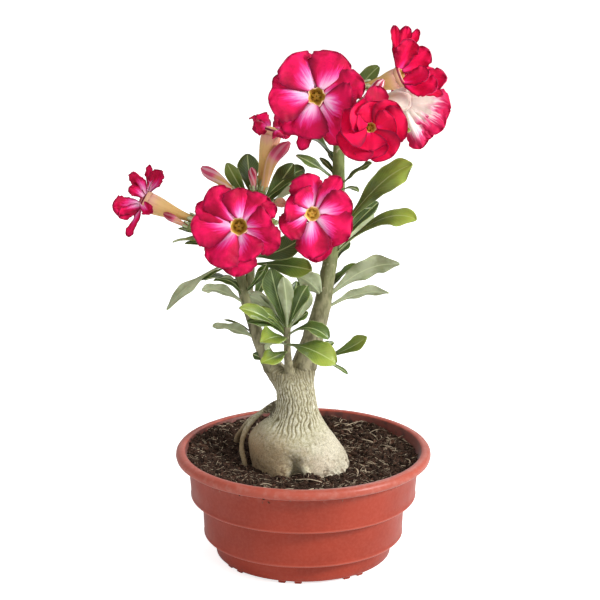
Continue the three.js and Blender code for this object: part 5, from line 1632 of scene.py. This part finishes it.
def throat_of(bloom):
    """The funnel between the tube and the petals, five-cornered like a star."""
    angle = np.linspace(0, 2 * math.pi, THROAT_SIDES, endpoint=False)
    star = np.cos(5 * angle + bloom["star_turn"])
    section = np.array(CUP)[1:-1]
    lobes = 1 + bloom["star"] * star * ease(section[:, 1:2], -7, 0)
    grid = np.zeros((len(section), THROAT_SIDES, 3))
    radius = section[:, :1] * bloom["throat"] * lobes
    grid[..., 0] = radius * np.cos(angle)
    grid[..., 1] = radius * np.sin(angle)
    grid[..., 2] = section[:, 1:2]
    turn_to = bloom_frame(bloom)
    grid = grid @ turn_to[:3, :3].T + turn_to[:3, 3]
    uv = np.zeros((*grid.shape[:2], 2))
    uv[..., 0] = angle / (2 * math.pi)
    uv[..., 1] = section[:, 1:2] * MM
    depth = section[:, 2:3] + 0.04 * star * (section[:, 2:3] < 0.85)
    marks = {"depth": depth, "star": 0.5 + 0.5 * star + 0 * depth, "gold": bloom["gold"]}
    return Skin().rings(grid, uv, {**marks, "pale": paleness(bloom)})


# %% Anthers and tube of a bloom
TUBE_ROWS = 44
TUBE_WALL = 1.2
FOOT_RADIUS, MOUTH_RADIUS = 3, 8  # of the tube


def anthers_of(bloom):
    """Five slim anthers that lean together over the mouth of the tube."""
    skin = Skin()
    turn_to = bloom_frame(bloom)
    size = bloom["throat"]
    for k in range(5):
        turn = 2 * math.pi * k / 5 + 0.3
        out = np.array([math.cos(turn), math.sin(turn), 0])
        blade(skin, LEAF, out * 4 * size + [0, 0, -4.6], out * 0.4 + [0, 0, -2.4], 2.4 * size, out,
              seed=k, transform=turn_to, arch=0.1, fold=0.3, wave=0.0, ruffle=0.0, crease=0.0, swell=0.7,
              rows=12, columns=6, marks={"depth": 0.45, "star": 0.0, "gold": bloom["gold"]})
    return skin


def tube_of(bloom):
    """The long tube with five soft ribs. Its skin turns back inside, so that its end has a wall."""
    line = tube_line(bloom)
    shares = np.concatenate([np.linspace(0, 1, TUBE_ROWS), np.linspace(1, 0.72, 12)])
    widths = FOOT_RADIUS + (MOUTH_RADIUS * bloom["throat"] - FOOT_RADIUS) * ease(shares, 0.1, 0.95)
    widths[TUBE_ROWS:] -= TUBE_WALL

    def ribs(angle, share):
        return 1 + 0.045 * np.cos(5 * angle) * (1 - 0.6 * share) + 0.012 * np.sin(13 * angle + 20 * share)

    return sweep(Skin(), line, shares, widths, 40, ribs, pale=paleness(bloom))


# %% Blooms
for number, (name, bloom) in enumerate(BLOOMS.items()):
    node_name = "bloom_" + name
    petals = petals_of(bloom, SEED_STEP * number)
    made = {
        "_petal_blades": (petals, petal_finish, "petal", node_name + "_petals"),
        "_throat": (throat_of(bloom), throat_finish, "flower_tube", None),
        "_anthers": (anthers_of(bloom), throat_finish, "flower_tube", None),
        "_corolla_tube": (tube_of(bloom), tube_finish, "flower_tube", node_name + "_tube"),
    }
    for label, (skin, material, slot, stands_for) in made.items():
        piece = skin.piece(node_name + label, material)
        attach(piece, "root")
        if stands_for:
            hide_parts(stands_for)
    print(node_name, "petals:", len(bloom["petals"]))

# %% [markdown]
# ## Buds
# A bud is a twisted spindle: its furled petals wind round each other, so the skin has five ridges that
# run in a spiral.

# %% Buds
# The width of a bud at some shares of its length, as shares of its greatest radius.
BUD_SHARES = [0, 0.2, 0.5, 0.72, 0.9, 1.0]
BUD_RADII = [0.5, 0.62, 0.86, 1.0, 0.86, 0.2]

for name, bud in BUDS.items():
    line = smooth_line(bud["line"])
    shares = np.linspace(0, 1, 40)
    widths = bud["radius"] * np.interp(shares, BUD_SHARES, BUD_RADII)
    widths = np.convolve(np.pad(widths, 2, mode="edge"), np.ones(5) / 5, mode="valid")

    def furled(angle, share):
        return 1 + 0.09 * np.abs(np.cos(2.5 * angle + 4.0 * share)) * ease(share, 0.2, 0.6)

    first, last = bud["red"]
    redness = first + (last - first) * ease(shares, 0.45, 0.75)
    skin = sweep(Skin(), line, shares, widths, 40, furled, red=redness[:, None], stripe=bud["stripe"])
    piece = skin.piece("bud_" + name + "_skin", bud_finish)
    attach(piece, "root")
    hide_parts("bud_" + name)
print("buds:", list(BUDS))

# %% [markdown]
# ## Room and light
# The photograph was taken in a white room with one strong, soft light to the right and front. An area lamp
# stands for it. Three weak lamps stand for what the walls throw back: one lifts the left side, one the
# blooms from in front, and one lights the plant from behind. A white world fills the shadows. The floor
# glows a little to the camera, because white paper in such a room shows no edge.

# %% Floor, world and lamps
WORLD_LIGHT = 0.38  # the light that the white walls give, less than they seem to shine
FLOOR_GLOW = 0.75  # how strongly the floor shines, to the camera alone
WHITE = (1.0, 1.0, 1.0, 1.0)
tree, place, wear = finish("paper floor", roughness=0.9, specular=0.1)
paper = grouped(tree, mottle, {"Vector": place, "Scale": 3.0, "Base": colour("fbfbfa"),
                               "Patch": colour("f7f7f5"), "Amount": 1.0})
floor_finish = wear(paper)
paper_shader = tree.nodes["Principled BSDF"]
paper_shader.inputs["Emission Color"].default_value = WHITE
seen = node(tree, "ShaderNodeLightPath").outputs["Is Camera Ray"]
tree.links.new(maths(tree, "MULTIPLY", seen, FLOOR_GLOW), paper_shader.inputs["Emission Strength"])
bpy.ops.mesh.primitive_plane_add(size=12)
floor = bpy.context.object
floor.name = "floor"
floor.data.materials.append(floor_finish)
floor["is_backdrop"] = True

world = bpy.data.worlds.new("studio")
bpy.context.scene.world = world
world.use_nodes = True
sky = world.node_tree.nodes["Background"]
sky.inputs["Color"].default_value = WHITE
seen = node(world.node_tree, "ShaderNodeLightPath").outputs["Is Camera Ray"]
glow = ramped(world.node_tree, seen, 0.0, 1.0, WORLD_LIGHT, 1.0)
world.node_tree.links.new(glow, sky.inputs["Strength"])


def lamp(name, location, aim, size, watts):
    """A square area lamp that looks at a point, in metres."""
    data = bpy.data.lights.new(name, "AREA")
    data.energy = watts
    data.size = size
    made = bpy.data.objects.new(name, data)
    bpy.context.scene.collection.objects.link(made)
    made.location = location
    made.rotation_euler = (Vector(aim) - Vector(location)).to_track_quat("-Z", "Y").to_euler()


lamp("key", (1.52, -0.74, 1.05), (0, 0, 0.2), 0.5, 34)
lamp("fill", (-1.3, -1.2, 0.9), (0, 0, 0.2), 1.2, 4)
lamp("crown fill", (0.1, -0.7, 1.1), (0.02, 0, 0.42), 0.5, 2.2)
lamp("back", (0.5, 1.5, 1.3), (0, 0, 0.25), 1.0, 7)
view = bpy.context.scene.view_settings
view.view_transform = "Standard"
view.look = "None"
print("lamps and floor are in place")

# %% [markdown]
# ## Last: sizes
# Both the solid model's box and the dressed plant's box are printed. The dressed plant has to keep
# to the solid model's box, within a millimetre or two.

# %% Sizes
sizes = {"cad": [list(corner) for corner in cad_box], "visual": [list(corner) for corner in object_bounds()]}
print("cad box", sizes["cad"])
print("visual box", sizes["visual"])
